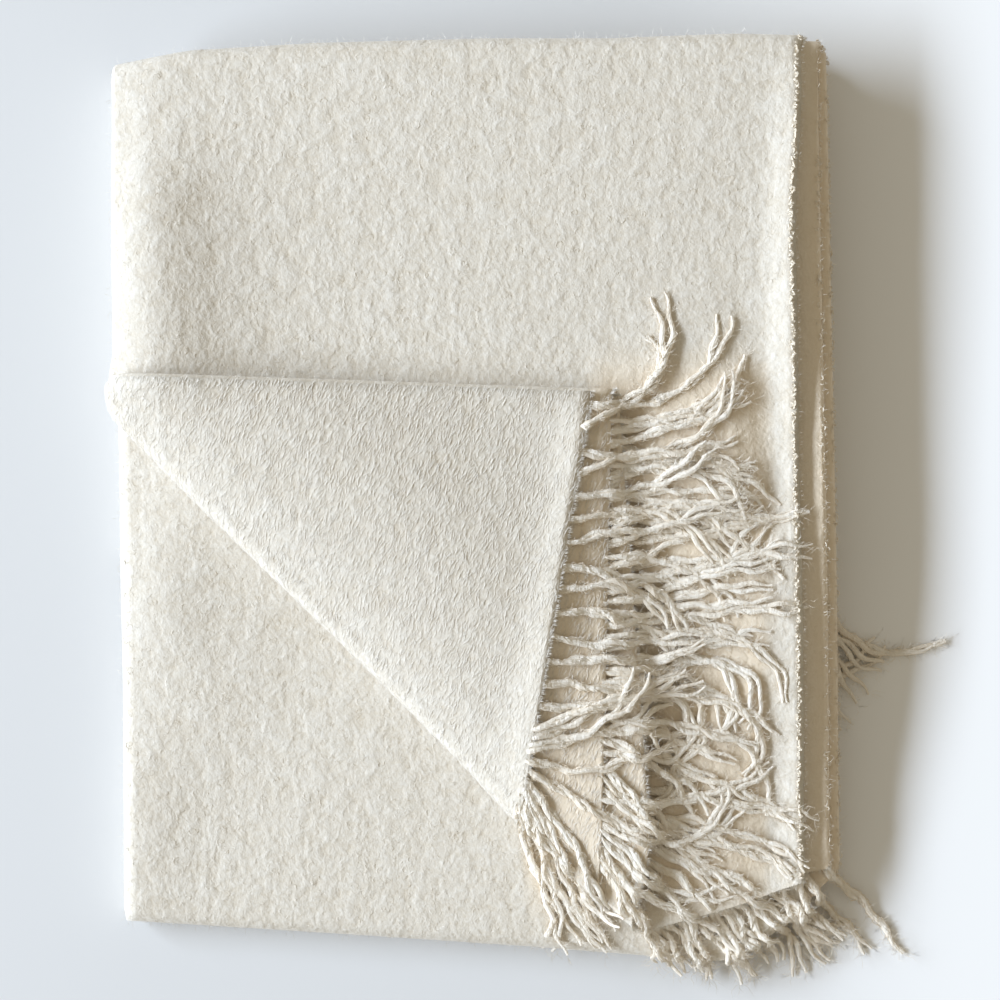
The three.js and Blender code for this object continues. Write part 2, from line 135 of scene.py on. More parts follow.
def tube_faces(count: int, stops: int, sides: int) -> list[Array]:
    """Faces of many closed tubes whose points are ordered tube, stop, side.

    Args:
        count: Number of tubes.
        stops: Rings along each tube.
        sides: Points of each ring.

    Returns:
        An array of quads along the tubes, and one of the flat ends.
    """
    number = np.arange(stops * sides).reshape(stops, sides)
    ahead = np.roll(number, -1, axis=1)
    quads = np.stack([number[:-1], ahead[:-1], ahead[1:], number[1:]], axis=-1).reshape(-1, 4)
    ends = np.stack([number[0, ::-1], number[-1]])
    step = (np.arange(count) * stops * sides)[:, None, None]
    return [(quads[None] + step).reshape(-1, 4), (ends[None] + step).reshape(-1, sides)]


def spindles(roots: Array, middles: Array, tips: Array, half: Array) -> tuple[Array, list[Array]]:
    """Thin closed fibres, pointed at both ends and three-sided in the middle.

    Args:
        roots: (N, 3) first points.
        middles: (N, 3) middles.
        tips: (N, 3) last points.
        half: (N, 1) half thickness.

    Returns:
        Points, five for each fibre, and triangles.
    """
    along = unit(tips - roots)
    side = perpendicular(along)
    waist = middles[:, None] + half[:, None] * ring(side, np.cross(along, side), FIBRE_SIDES)
    points = np.concatenate([roots[:, None], waist, tips[:, None]], axis=1)
    faces = np.array([[0, 2, 1], [0, 3, 2], [0, 1, 3], [4, 1, 2], [4, 2, 3], [4, 3, 1]])
    step = (SPINDLE_POINTS * np.arange(len(roots)))[:, None, None]
    return points.reshape(-1, 3), [(faces[None] + step).reshape(-1, 3)]


def new_piece(
    name: str,
    points: Array,
    faces: list[Array],
    material: Material,
    tones: Array | None = None,
    smooth: bool = True,
    painted_shade: Array | None = None,
) -> Piece:
    """Put arrays of points and faces into a mesh object at the origin.

    Args:
        name: Name of the piece.
        points: (N, 3) places in millimetres.
        faces: Arrays of (F, 3) or (F, 4) point numbers.
        material: Finish of the whole piece.
        tones: Share of each point's yarn tone, kept in the attribute "tone".
        smooth: Whether the faces shade into one another. Fibres with three sides shade better flat.
        painted_shade: Share of painted warm shade at each point, kept in the attribute "painted_shade".

    Returns:
        The new object, linked to the scene.
    """
    mesh = bpy.data.meshes.new(name)
    numbers = np.concatenate([part.ravel() for part in faces]).astype(np.int32)
    sizes = np.concatenate([np.full(len(part), part.shape[1]) for part in faces])
    starts = np.concatenate([[0], np.cumsum(sizes)[:-1]]).astype(np.int32)
    mesh.vertices.add(len(points))
    mesh.vertices.foreach_set("co", (points * MM).astype(np.float32).ravel())
    mesh.loops.add(len(numbers))
    mesh.loops.foreach_set("vertex_index", numbers)
    mesh.polygons.add(len(sizes))
    mesh.polygons.foreach_set("loop_start", starts)
    mesh.polygons.foreach_set("use_smooth", np.full(len(sizes), smooth))
    for label, values in (("tone", tones), ("painted_shade", painted_shade)):
        if values is not None:
            attribute = mesh.attributes.new(label, "FLOAT", "POINT")
            attribute.data.foreach_set("value", values.astype(np.float32).ravel())
    mesh.update(calc_edges=True)
    mesh.materials.append(material)
    piece = bpy.data.objects.new(name, mesh)
    bpy.context.scene.collection.objects.link(piece)
    return piece


def join_parts(name: str, parts: list[Part], material: Material) -> Piece:
    """Join parts made of points, faces and tones into one piece.

    Args:
        name: Name of the piece.
        parts: The parts.
        material: Their finish.

    Returns:
        The piece, with its points kept between the lowest and the highest place.
    """
    faces: list[Array] = []
    total = 0
    for points, part_faces, _ in parts:
        faces += [face + total for face in part_faces]
        total += len(points)
    places = np.concatenate([part[0] for part in parts])
    places[:, 2] = np.clip(places[:, 2], LOWEST, HIGHEST)
    tones = np.concatenate([part[2] for part in parts])
    return new_piece(name, places, faces, material, tones, smooth=False)


class Zone(Enum):
    """Parts of the cloth that show."""

    TOP = "top of the upper leg"
    FOLD = "rounded folds around the stack"
    EXPOSED = "lower leg beside the corner"
    FLAP = "corner turned back"
    EDGE = "right folds and selvedges"


class Stretch(IntEnum):
    """Stretches of the sheet along the throw: three of the top leg, then turns and lower legs."""

    FLAP = 0
    BEND = 1
    FLAT = 2
    TURN = 3
    LEG = 4


class Relief(NamedTuple):
    """One scale of a wool surface's unevenness.

    Attributes:
        size: Width of its lumps, in millimetres.
        height: Height of its lumps, in millimetres.
        shade: Share of the finish's two colours that it moves between, in step with its height: partly the
        wool's own mottle, partly painted shade in its hollows.
    """

    size: float
    height: float
    shade: float


RELIEFS = ("Tuft", "Curl", "Fibre")
NOISE = {"Detail": 2.0, "Roughness": 0.6, "Distortion": 0.3}
MIDDLE = 0.5


def set_inputs(node: bpy.types.Node, values: dict[str, float | Table]) -> None:
    """Set a node's inputs.

    Args:
        node: The node.
        values: Value of each input, by the input's name.
    """
    for name, value in values.items():
        node.inputs[name].default_value = value


def math_node(tree: bpy.types.NodeTree, kind: str, first: Socket, second: Socket | float) -> Socket:
    """Add a node that works out one operation.

    Args:
        tree: Where the node goes.
        kind: Blender's name of the operation.
        first: First value.
        second: Second value, or a fixed number.

    Returns:
        The node's output.
    """
    node = tree.nodes.new("ShaderNodeMath")
    node.operation = kind
    tree.links.new(first, node.inputs[0])
    if isinstance(second, float):
        node.inputs[1].default_value = second
    else:
        tree.links.new(second, node.inputs[1])
    return node.outputs[0]


def blend_node(tree: bpy.types.NodeTree, share: Socket, first: Socket, second: Socket) -> Socket:
    """Add a node that blends two colours.

    Args:
        tree: Where the node goes.
        share: Share of the second colour, held between 0 and 1.
        first: First colour.
        second: Second colour.

    Returns:
        The node's output.
    """
    node = tree.nodes.new("ShaderNodeMix")
    node.data_type = "RGBA"
    node.clamp_factor = True
    for name, socket in (("Factor", share), ("A", first), ("B", second)):
        tree.links.new(socket, node.inputs[name])
    return node.outputs["Result"]


def wool_group() -> bpy.types.NodeTree:
    """Node group of uneven wool: a colour between two tones, and a height in millimetres.

    Three noises on coordinates drawn out along the comb direction are summed, each weighed by its height
    for the relief and by its shade for the tone, so the relief's hollows take the deep colour: partly the
    wool's own mottle, partly painted shade. The yarn's own tone, which for the fringe's yarn also holds
    painted shade on its underside, is added to the tone, and a painted warm shade colour is blended in by its
    share.

    Returns:
        The group, made on the first call.
    """
    if "wool" in bpy.data.node_groups:
        return bpy.data.node_groups["wool"]
    group = bpy.data.node_groups.new("wool", "ShaderNodeTree")
    inputs = dict.fromkeys(("Pale", "Deep", "Painted shade"), "NodeSocketColor")
    inputs |= dict.fromkeys(("Place", "Turn", "Stretch"), "NodeSocketVector")
    for name in RELIEFS:
        inputs |= {f"{name} {kind}": "NodeSocketFloat" for kind in ("scale", "height", "shade")}
    for name, kind in inputs.items():
        group.interface.new_socket(name, in_out="INPUT", socket_type=kind)
    for name, kind in {"Color": "NodeSocketColor", "Height": "NodeSocketFloat"}.items():
        group.interface.new_socket(name, in_out="OUTPUT", socket_type=kind)
    nodes, links = group.nodes, group.links
    source = nodes.new("NodeGroupInput").outputs
    result = nodes.new("NodeGroupOutput")
    comb = nodes.new("ShaderNodeMapping")
    comb.vector_type = "TEXTURE"
    for name, place in (("Place", "Vector"), ("Turn", "Rotation"), ("Stretch", "Scale")):
        links.new(source[name], comb.inputs[place])
    kept = {}
    for name in ("tone", "painted_shade"):
        node = nodes.new("ShaderNodeAttribute")
        node.attribute_name = name
        kept[name] = node.outputs["Fac"]
    shade = math_node(group, "ADD", kept["tone"], MIDDLE)
    height = None
    for name in RELIEFS:
        noise = nodes.new("ShaderNodeTexNoise")
        set_inputs(noise, NOISE)
        links.new(comb.outputs["Vector"], noise.inputs["Vector"])
        links.new(source[f"{name} scale"], noise.inputs["Scale"])
        # One noise drives both the lumps and the tone, so hollows get the deep colour: partly mottle, partly
        # painted shade.
        uneven = math_node(group, "SUBTRACT", noise.outputs[0], MIDDLE)
        shift = math_node(group, "MULTIPLY", uneven, source[f"{name} shade"])
        shade = math_node(group, "ADD", shade, shift)
        lump = math_node(group, "MULTIPLY", uneven, source[f"{name} height"])
        height = lump if height is None else math_node(group, "ADD", height, lump)
    fleece = blend_node(group, shade, source["Deep"], source["Pale"])
    # Painted warm shade, blended in by its share.
    colour = blend_node(group, kept["painted_shade"], fleece, source["Painted shade"])
    links.new(colour, result.inputs["Color"])
    links.new(height, result.inputs["Height"])
    return group


@dataclass(frozen=True)
class WoolFinish:
    """A matte wool finish, mottled and uneven at three scales.

    Attributes:
        name: Name of the material.
        colour: Linear colour of the palest fibre.
        deep: Linear colour of the darkest fibre, which the relief's hollows take: partly the wool's own
            mottle,
        partly painted shade.
        tuft, curl, fibre: Unevenness of the tufts, of the curls in them and of single fibres.
        lean: Direction that the fibres are combed in, in degrees from +X.
        stretch: How much longer than wide the lumps are along that direction.
        painted_shade: Linear colour of painted warm shade, for the gaps between the fringe's strands and the
        shaded right side.
        roughness, gloss: Roughness of the wool, and its weak mirror light.
        sheen, sheen_roughness, sheen_tint: Soft rim light of loose fibres.
    """

    name: str
    colour: Colour
    deep: Colour
    tuft: Relief = Relief(7.0, 0.0, 0.5)
    curl: Relief = Relief(2.6, 0.0, 0.4)
    fibre: Relief = Relief(1.0, 0.0, 0.4)
    lean: float = 90.0
    stretch: float = 1.5
    # Painted shade: a warm tan standing in for the shade in the gaps between strands and on the shaded right
    # side.
    painted_shade: Colour = (0.79, 0.66, 0.49)
    roughness: float = 0.95
    gloss: float = 0.12
    sheen: float = 0.25
    sheen_roughness: float = 0.5
    sheen_tint: Colour = (1.0, 0.98, 0.94)

    def material(self) -> Material:
        """Build the finish.

        Returns:
            A material with a Principled shader fed by the shared wool group.
        """
        material = bpy.data.materials.new(self.name)
        material.use_nodes = True
        nodes, links = material.node_tree.nodes, material.node_tree.links
        shader = nodes["Principled BSDF"]
        set_inputs(shader, {
            "Roughness": self.roughness,
            "Specular IOR Level": self.gloss,
            "Sheen Weight": self.sheen,
            "Sheen Roughness": self.sheen_roughness,
            "Sheen Tint": (*self.sheen_tint, 1.0),
        })
        wool = nodes.new("ShaderNodeGroup")
        wool.node_tree = wool_group()
        for name, colour in (("Pale", self.colour), ("Deep", self.deep), ("Painted shade", self.painted_shade)):
            wool.inputs[name].default_value = (*colour, 1.0)
        set_inputs(wool, {"Turn": (0.0, 0.0, np.radians(self.lean)), "Stretch": (self.stretch, 1.0, 1.0)})
        for name, relief in zip(RELIEFS, (self.tuft, self.curl, self.fibre)):
            set_inputs(wool, {
                f"{name} scale": 1.0 / (relief.size * MM),
                f"{name} height": relief.height,
                f"{name} shade": relief.shade,
            })
        bump = nodes.new("ShaderNodeBump")
        set_inputs(bump, {"Strength": 1.0, "Distance": MM})
        place = nodes.new("ShaderNodeTexCoord")
        links.new(place.outputs["Object"], wool.inputs["Place"])
        links.new(wool.outputs["Color"], shader.inputs["Base Color"])
        links.new(wool.outputs["Height"], bump.inputs["Height"])
        links.new(bump.outputs["Normal"], shader.inputs["Normal"])
        return material


class Crease(NamedTuple):
    """A soft ridge or trough along a straight line."""

    from_x: float
    from_y: float
    to_x: float
    to_y: float
    width: float
    height: float


class Ply(NamedTuple):
    """One layer of a leg: its level, where it runs across, and its fringed edge at three places."""

    level: float
    from_x: float
    to_x: float
    ends: tuple[float, float, float]


@dataclass(frozen=True)
class Folds:
    """The throw's folds: three layers across, four legs along, and one corner turned back.

    Each function maps places of the flat stack to their places in the folded throw.

    Attributes:
        sheet, air: Thickness of the cloth, and the air between its layers.
        left_fold, right_fold, selvedges: Places across of the folds and of the two selvedges.
        lean: Shift to the left for each unit along.
        far_edge, far_slope, far_step, far_end: Far edge, its slope, the lower legs' step back there, and
            where the bottom leg ends.
        leg_reach: How much farther to the right each leg reaches.
        end_places, end_blur: Places across of the layers' ends, and the rounding between them.
        near_places, near_edges, near_blur: Table of the near edge, and its rounding.
        sag_near, sag_far, sag_blur: Stretch where the stack sags over the bottom leg's end.
        lift_*: Lift of the top layer's right selvedge: its ease across, height, and table along.
        corner_*: Diagonal of the corner turned back, the room in it, and the rounds that find it.
        puff_*: Swell of that corner inside its rounded edge, which sinks again far inside.
        spread_*: Extra width of the top leg's left folds beside that corner.
        painted_shade_*, side_ease: Limits and shares of painted warm shade, beside the fringe and on the
            shaded right side.
        full_*, far_ease, near_ease, near_stop, left_ease, right_*: How far soft wool fills each side out,
            and the limits of that.
        press_from, press_room: Where the left side is pressed in, and the room that it keeps beyond.
        most_crease, creases: Greatest share of a crease that a high layer takes, and the creases.
    """

    sheet: float = 3.0
    air: float = 0.8
    left_fold: float = -238.0
    right_fold: float = 206.0
    selvedges: Span = (188.5, -236.0)
    lean: float = 0.021
    far_edge: float = 283.6
    far_slope: float = 0.0347
    far_step: float = 4.0
    far_end: float = -38.0
    leg_reach: Table = (0.0, 7.0, 4.0, -3.0)
    end_places: Table = (-260.0, 20.0, 200.0)
    end_blur: float = 14.0
    near_places: Table = (-232.0, 20.0, 140.0, 182.0, 205.0)
    near_edges: Table = (-264.0, -281.0, -291.0, -266.0, -238.0)
    near_blur: float = 12.0
    sag_near: float = -190.0
    sag_far: float = -35.0
    sag_blur: float = 18.0
    lift_from: float = 169.0
    lift_to: float = 187.0
    lift_height: float = 6.5
    lift_places: Table = (-270.0, -150.0, -60.0, 0.0, 40.0, 95.0, 200.0, 290.0)
    lift_shares: Table = (0.7, 0.7, 0.5, 0.25, 0.3, 0.85, 0.9, 0.15)
    corner_x: float = -211.0
    corner_y: float = 38.8
    corner_angle: float = -45.3
    corner_room: float = 0.5
    corner_rounds: int = 12
    puff_height: float = 9.2
    puff_length: float = 27.0
    puff_sink: float = 0.85
    puff_ease: Span = (60.0, 170.0)
    spread_width: float = 26.0
    spread_ease: Span = (95.0, 45.0)
    painted_shade_places: Span = (-190.0, 72.0)
    painted_shade_starts: Span = (12.0, 54.0)
    painted_shade_left: Span = (0.0, 10.0)
    painted_shade_right: Span = (174.0, 164.0)
    painted_shade_near: Span = (-275.0, -235.0)
    painted_shade_far: Span = (100.0, 70.0)
    # Shares of painted warm shade in the fringe's gaps and on the shaded right side.
    painted_shade_gaps: float = 0.7
    painted_shade_side: float = 0.8
    side_ease: Span = (178.0, 192.0)
    full_across: Table = (-238.0, -195.0, -119.0, -6.0, 69.0, 144.0, 195.0)
    full_far: Table = (1.5, 8.0, 10.0, 9.0, 6.5, 7.0, 4.0)
    far_ease: Span = (120.0, 285.0)
    full_near: float = 7.0
    near_ease: Span = (-150.0, -245.0)
    near_stop: Span = (215.0, 140.0)
    full_along: Table = (-265.0, -100.0, 90.0, 280.0)
    full_left: Table = (9.0, 6.0, 4.0, 2.0)
    left_ease: Span = (-60.0, -235.0)
    full_right: float = 6.0
    right_ease: Span = (90.0, 185.0)
    right_stop: Span = (202.0, 192.0)
    right_along: Span = (170.0, 260.0)
    press_from: float = -236.5
    press_room: float = 5.0
    most_crease: float = 1.3
    creases: tuple[Crease, ...] = (
        Crease(-247, -300, -247, -175, 22, -6.0),
        Crease(-247, -120, -247, 10, 36, -8.0),
        Crease(-247, 85, -247, 300, 20, -5.5),
        Crease(-216, 105, -222, 180, 36, 7.5),
        Crease(-200, 100, -200, 150, 60, 3.4),
        Crease(-212, -50, -212, -75, 26, 6.0),
        Crease(-226, -190, -226, -240, 24, 5.0),
        Crease(40, 70, 150, 170, 40, -1.4),
        Crease(-60, 250, 120, 200, 60, 1.2),
        Crease(-170, -190, -120, -110, 34, -2.4),
        Crease(54, 40, 16, -180, 14, 3.4),
        Crease(158, 120, 160, 75, 18, -2.4),
        Crease(171, 66, 172, -4, 14, -5.0),
        Crease(166, -60, 166, -130, 22, 2.5),
        Crease(168, -165, 172, -200, 14, -2.6),
        Crease(196, -205, 152, -262, 42, -6.0),
    )

    @property
    def pitch(self) -> float:
        """Height that one layer takes."""
        return self.sheet + self.air

    @property
    def strip(self) -> float:
        """Height of one leg."""
        return PLIES * self.pitch

    @property
    def bend(self) -> float:
        """Radius of the turned-back corner at the middle of the leg."""
        return self.strip / 2.0 + self.corner_room

    @property
    def plies(self) -> tuple[Ply, Ply, Ply]:
        """The three layers, from one selvedge to the other."""
        return (
            Ply(self.pitch, self.selvedges[0], self.left_fold, (-252.0, -278.0, -232.0)),
            Ply(0.0, self.left_fold, self.right_fold, (-250.0, -247.0, -229.0)),
            Ply(-self.pitch, self.right_fold, self.selvedges[1], (-242.0, -193.0, -226.0)),
        )

    @property
    def corner_side(self) -> Array:
        """Level unit vector from the diagonal towards the corner."""
        angle = np.radians(self.corner_angle)
        return np.array([np.sin(angle), -np.cos(angle)])

    def leg_middle(self, leg: int) -> float:
        """Height of a leg's middle in the flat stack, leg 0 on top."""
        return (LEGS - 0.5 - leg) * self.strip - self.air / 2.0

    def ply_end(self, ply: Array, x: Array) -> Array:
        """Place along the throw of a layer's fringed edge, between layers on the folds that join them.

        Args:
            ply: Layer number, with shares on the folds.
            x: Place across.

        Returns:
            Place along, before the corner is turned back.
        """
        rows = [soft_table(self.end_places, layer.ends, x, self.end_blur) for layer in self.plies]
        low = np.clip(np.floor(ply).astype(int), 0, PLIES - 1)
        high = np.minimum(low + 1, PLIES - 1)
        table = np.stack(np.broadcast_arrays(*rows))
        first = np.take_along_axis(table, low[None], axis=0)[0]
        second = np.take_along_axis(table, high[None], axis=0)[0]
        return first + (second - first) * (ply - low)

    def layer_end(self, index: int, x: Array) -> Array:
        """Place along of one layer's fringed edge."""
        return self.ply_end(np.full(np.shape(x), float(index)), x)

    def spread(self, y: Array) -> Array:
        """Extra width that the top leg's left folds take beside the corner."""
        return self.spread_width * smooth_step(*self.spread_ease, y)

    def across(self, x: Array, y: Array, leg: Array | float) -> Array:
        """Place across the stack after the lean, the right folds' reach and the corner's spread.

        Args:
            x: Place across the flat stack.
            y: Place along.
            leg: Leg number, with shares around the turns.

        Returns:
            Place across in the folded throw.
        """
        reach = np.interp(leg, np.arange(LEGS), self.leg_reach) * np.clip(x / self.right_fold, 0.0, 1.0)
        top = np.asarray(leg) == 0
        spread = np.where(top, self.spread(y) * np.clip(x / self.left_fold, 0.0, 1.0), 0.0)
        return x - self.lean * y + reach - spread

    def far_fold(self, x: Array, leg: int) -> Array:
        """Where a leg starts to turn at the far edge."""
        return self.far_edge + self.far_slope * x - self.strip - (self.far_step if leg else 0.0)

    def near_fold(self, x: Array) -> Array:
        """Where a leg starts to turn at the near edge."""
        return soft_table(self.near_places, self.near_edges, x, self.near_blur) + self.strip

    def past_corner(self, x: Array, y: Array) -> Array:
        """Distance past the diagonal, towards the corner."""
        side = self.corner_side
        return (x - self.corner_x) * side[0] + (y - self.corner_y) * side[1]

    def corner_line(self, x: Array, past: float) -> Array:
        """Place along the flat top leg that lies a given distance past the diagonal.

        Args:
            x: Place across the flat stack.
            past: Distance past the diagonal.

        Returns:
            Place along, found by repeating y = line(across(x, y)).
        """
        side = self.corner_side
        y = np.zeros_like(x)
        for _ in range(self.corner_rounds):
            place = self.across(x, y, 0)
            y = self.corner_y + (past - (place - self.corner_x) * side[0]) / side[1]
        return y

    def lift(self, x: Array, y: Array) -> Array:
        """Lift of the top layer's right selvedge: a soft rise across times a table along."""
        sideways = smooth_step(self.lift_from, self.lift_to, x + self.lean * y)
        return self.lift_height * sideways * np.interp(y, self.lift_places, self.lift_shares)

    def turn_back(self, points: Array) -> Array:
        """Turn points of the flat top leg back over the diagonal, as a sheet rolls round a rod.

        Args:
            points: (..., 3) places on the flat top leg.

        Returns:
            Places after the turn: an arc of the bend's radius, then flat again and upside down.
        """
        past = self.past_corner(points[..., 0], points[..., 1])
        inside = past - np.pi * self.bend
        middle = self.leg_middle(0)
        around = np.clip(past / self.bend, 0.0, np.pi)
        radius = self.bend - (points[..., 2] - middle)
        reach = radius * np.sin(around) - np.maximum(inside, 0.0)
        turned = points.copy()
        turned[..., :2] += (reach - past)[..., None] * self.corner_side
        turned[..., 2] = middle + self.bend - radius * np.cos(around) + self.puff(inside)
        return np.where((past > 0.0)[..., None], turned, points)

    def puff(self, inside: Array) -> Array:
        """Swell of the loose layers inside the corner's rounded edge, which sinks again far inside."""
        rise = self.puff_height * (1.0 - np.exp(-np.maximum(inside, 0.0) / self.puff_length))
        return rise * (1.0 - self.puff_sink * smooth_step(*self.puff_ease, inside))

    def settle(self, points: Array) -> Array:
        """Let the flat stack sag over its short bottom leg and give it its creases.

        Args:
            points: (..., 3) places of the flat stack.

        Returns:
            Places of the settled stack: sagged, creased, pressed in at the left and filled out.
        """
        rise = soft_table((self.sag_near, self.sag_far), (0.0, self.strip), points[..., 1], self.sag_blur)
        above = points[..., 2] > self.strip - self.air / 2.0
        settled = points.copy()
        settled[..., 2] = np.where(above, points[..., 2] - self.strip + rise, points[..., 2])
        settled[..., 2] += self.creased(settled)
        settled[..., 0] = self.pressed(settled[..., 0], settled[..., 1])
        return self.fuller(settled)

    def sunk(self, y: Array, z: Array) -> Array:
        """Height after the stack has sagged over its short bottom leg, without the rounding."""
        rise = np.interp(y, [self.sag_near, self.sag_far], [0.0, self.strip])
        return np.where(z > self.strip - self.air / 2.0, z - self.strip + rise, z)

    def fuller(self, points: Array) -> Array:
        """Points moved out towards the sides, where the soft wool makes the folds fuller than a thin sheet.

        Each side's move is a table along that side, eased in from the middle of the stack.

        Args:
            points: (..., 3) places of the settled stack.

        Returns:
            The moved places.
        """
        x, y = points[..., 0], points[..., 1]
        far = np.interp(x, self.full_across, self.full_far) * smooth_step(*self.far_ease, y)
        near = self.full_near * smooth_step(*self.near_ease, y) * smooth_step(*self.near_stop, x)
        left = np.interp(y, self.full_along, self.full_left) * smooth_step(*self.left_ease, x)
        right = smooth_step(*self.right_ease, x) * smooth_step(*self.right_stop, x)
        right = self.full_right * right * smooth_step(*self.right_along, y)
        moved = points.copy()
        moved[..., 0] += right - left
        moved[..., 1] += far - near
        return moved

    def pressed(self, x: Array, y: Array) -> Array:
        """Place across after the left side is pressed in: what stands out past it eases towards a limit."""
        out = np.maximum(self.press_from - (x + self.lean * y), 0.0)
        return x + out - self.press_room * (1.0 - np.exp(-out / self.press_room))

    def creased(self, points: Array) -> Array:
        """Height that the creases add to points: each layer takes its share of the stack's height."""
        share = np.clip(points[..., 2] / (LEGS * self.strip), 0.0, self.most_crease)
        return share * self.crease_height(points[..., 0], points[..., 1])

    def crease_height(self, x: Array, y: Array) -> Array:
        """Sum of the creases: each is a bell across its line, easing off at its ends.

        Args:
            x: Places across.
            y: Places along.

        Returns:
            Heights on top of the stack.
        """
        total = np.zeros_like(x)
        for crease in self.creases:
            start = np.array([crease.from_x, crease.from_y], dtype=float)
            along = np.array([crease.to_x, crease.to_y], dtype=float) - start
            length = np.linalg.norm(along)
            along /= length
            distance = (x - start[0]) * along[0] + (y - start[1]) * along[1]
            sideways = (y - start[1]) * along[0] - (x - start[0]) * along[1]
            beyond = np.maximum(np.maximum(-distance, distance - length), 0.0)
            total += crease.height * np.exp(-(sideways**2 + beyond**2) / crease.width**2)
        return total

    def painted_shade(self, x: Array, y: Array) -> Array:
        """Share of painted warm shade: between the turned-back corner's fringed edge and the right selvedge.

        Args:
            x: Places across.
            y: Places along.

        Returns:
            Product of four soft steps, one for each limit.
        """
        root = np.interp(y, self.painted_shade_places, self.painted_shade_starts)
        across = smooth_step(*self.painted_shade_left, x - root) * smooth_step(*self.painted_shade_right, x)
        return across * smooth_step(*self.painted_shade_near, y) * smooth_step(*self.painted_shade_far, y)

    def on_ply(self, index: int, x: Array, y: Array, margin: float) -> Array:
        """Whether places of the flat top leg lie on a layer, or within a margin of its near edge.

        Args:
            index: Number of the layer.
            x: Places across.
            y: Places along.
            margin: Width past the near edge that still counts.

        Returns:
            Truth of each place.
        """
        flat_x = x + self.lean * y
        ply = self.plies[index]
        right = max(ply.from_x, ply.to_x)
        inside = (flat_x > self.left_fold - self.spread(y)) & (flat_x < right)
        return inside & (y > self.layer_end(index, flat_x) - margin)

    def mirrored(self, x: Array, y: Array) -> tuple[Array, Array]:
        """Flat place of the top leg that the turned-back corner brings over a place."""
        shift = np.pi * self.bend - 2.0 * self.past_corner(x, y)
        return x + shift * self.corner_side[0], y + shift * self.corner_side[1]

    def under_flap(self, x: Array, y: Array) -> Array:
        """Whether places lie under the corner turned back: on any layer that it brings over them.

        Args:
            x: Places across.
            y: Places along.

        Returns:
            Truth of each place.
        """
        back_x, back_y = self.mirrored(x, y)
        covered = np.zeros(np.shape(x), dtype=bool)
        for index in range(PLIES):
            covered |= self.on_ply(index, back_x, back_y, 0.0)
        return covered & (self.past_corner(x, y) < 0.0)


class Cells(NamedTuple):
    """Four-cornered cells of the sheet that show in one zone.

    Attributes:
        corners: (M, 4, 3) places.
        normals: (M, 3) directions away from the cloth.
    """

    corners: Array
    normals: Array

    def scatter(self, count: int, random: Random, weights: Array | float = 1.0) -> tuple[Array, Array]:
        """Scatter places over the cells, by their areas, evenly inside each cell.

        Args:
            count: How many places.
            random: Source of the draws.
            weights: Density of each cell, or of all.

        Returns:
            (count, 3) places and their (count, 3) normals.
        """
        diagonal = np.cross(self.corners[:, 2] - self.corners[:, 0], self.corners[:, 3] - self.corners[:, 1])
        area = np.linalg.norm(diagonal, axis=1) * weights
        chosen = random.choice(len(area), size=count, p=area / area.sum())
        u, v = random.random((2, count, 1))
        a, b, c, d = (self.corners[chosen, k] for k in range(4))
        places = (1 - u) * (1 - v) * a + u * (1 - v) * b + u * v * c + (1 - u) * v * d
        return places, self.normals[chosen]


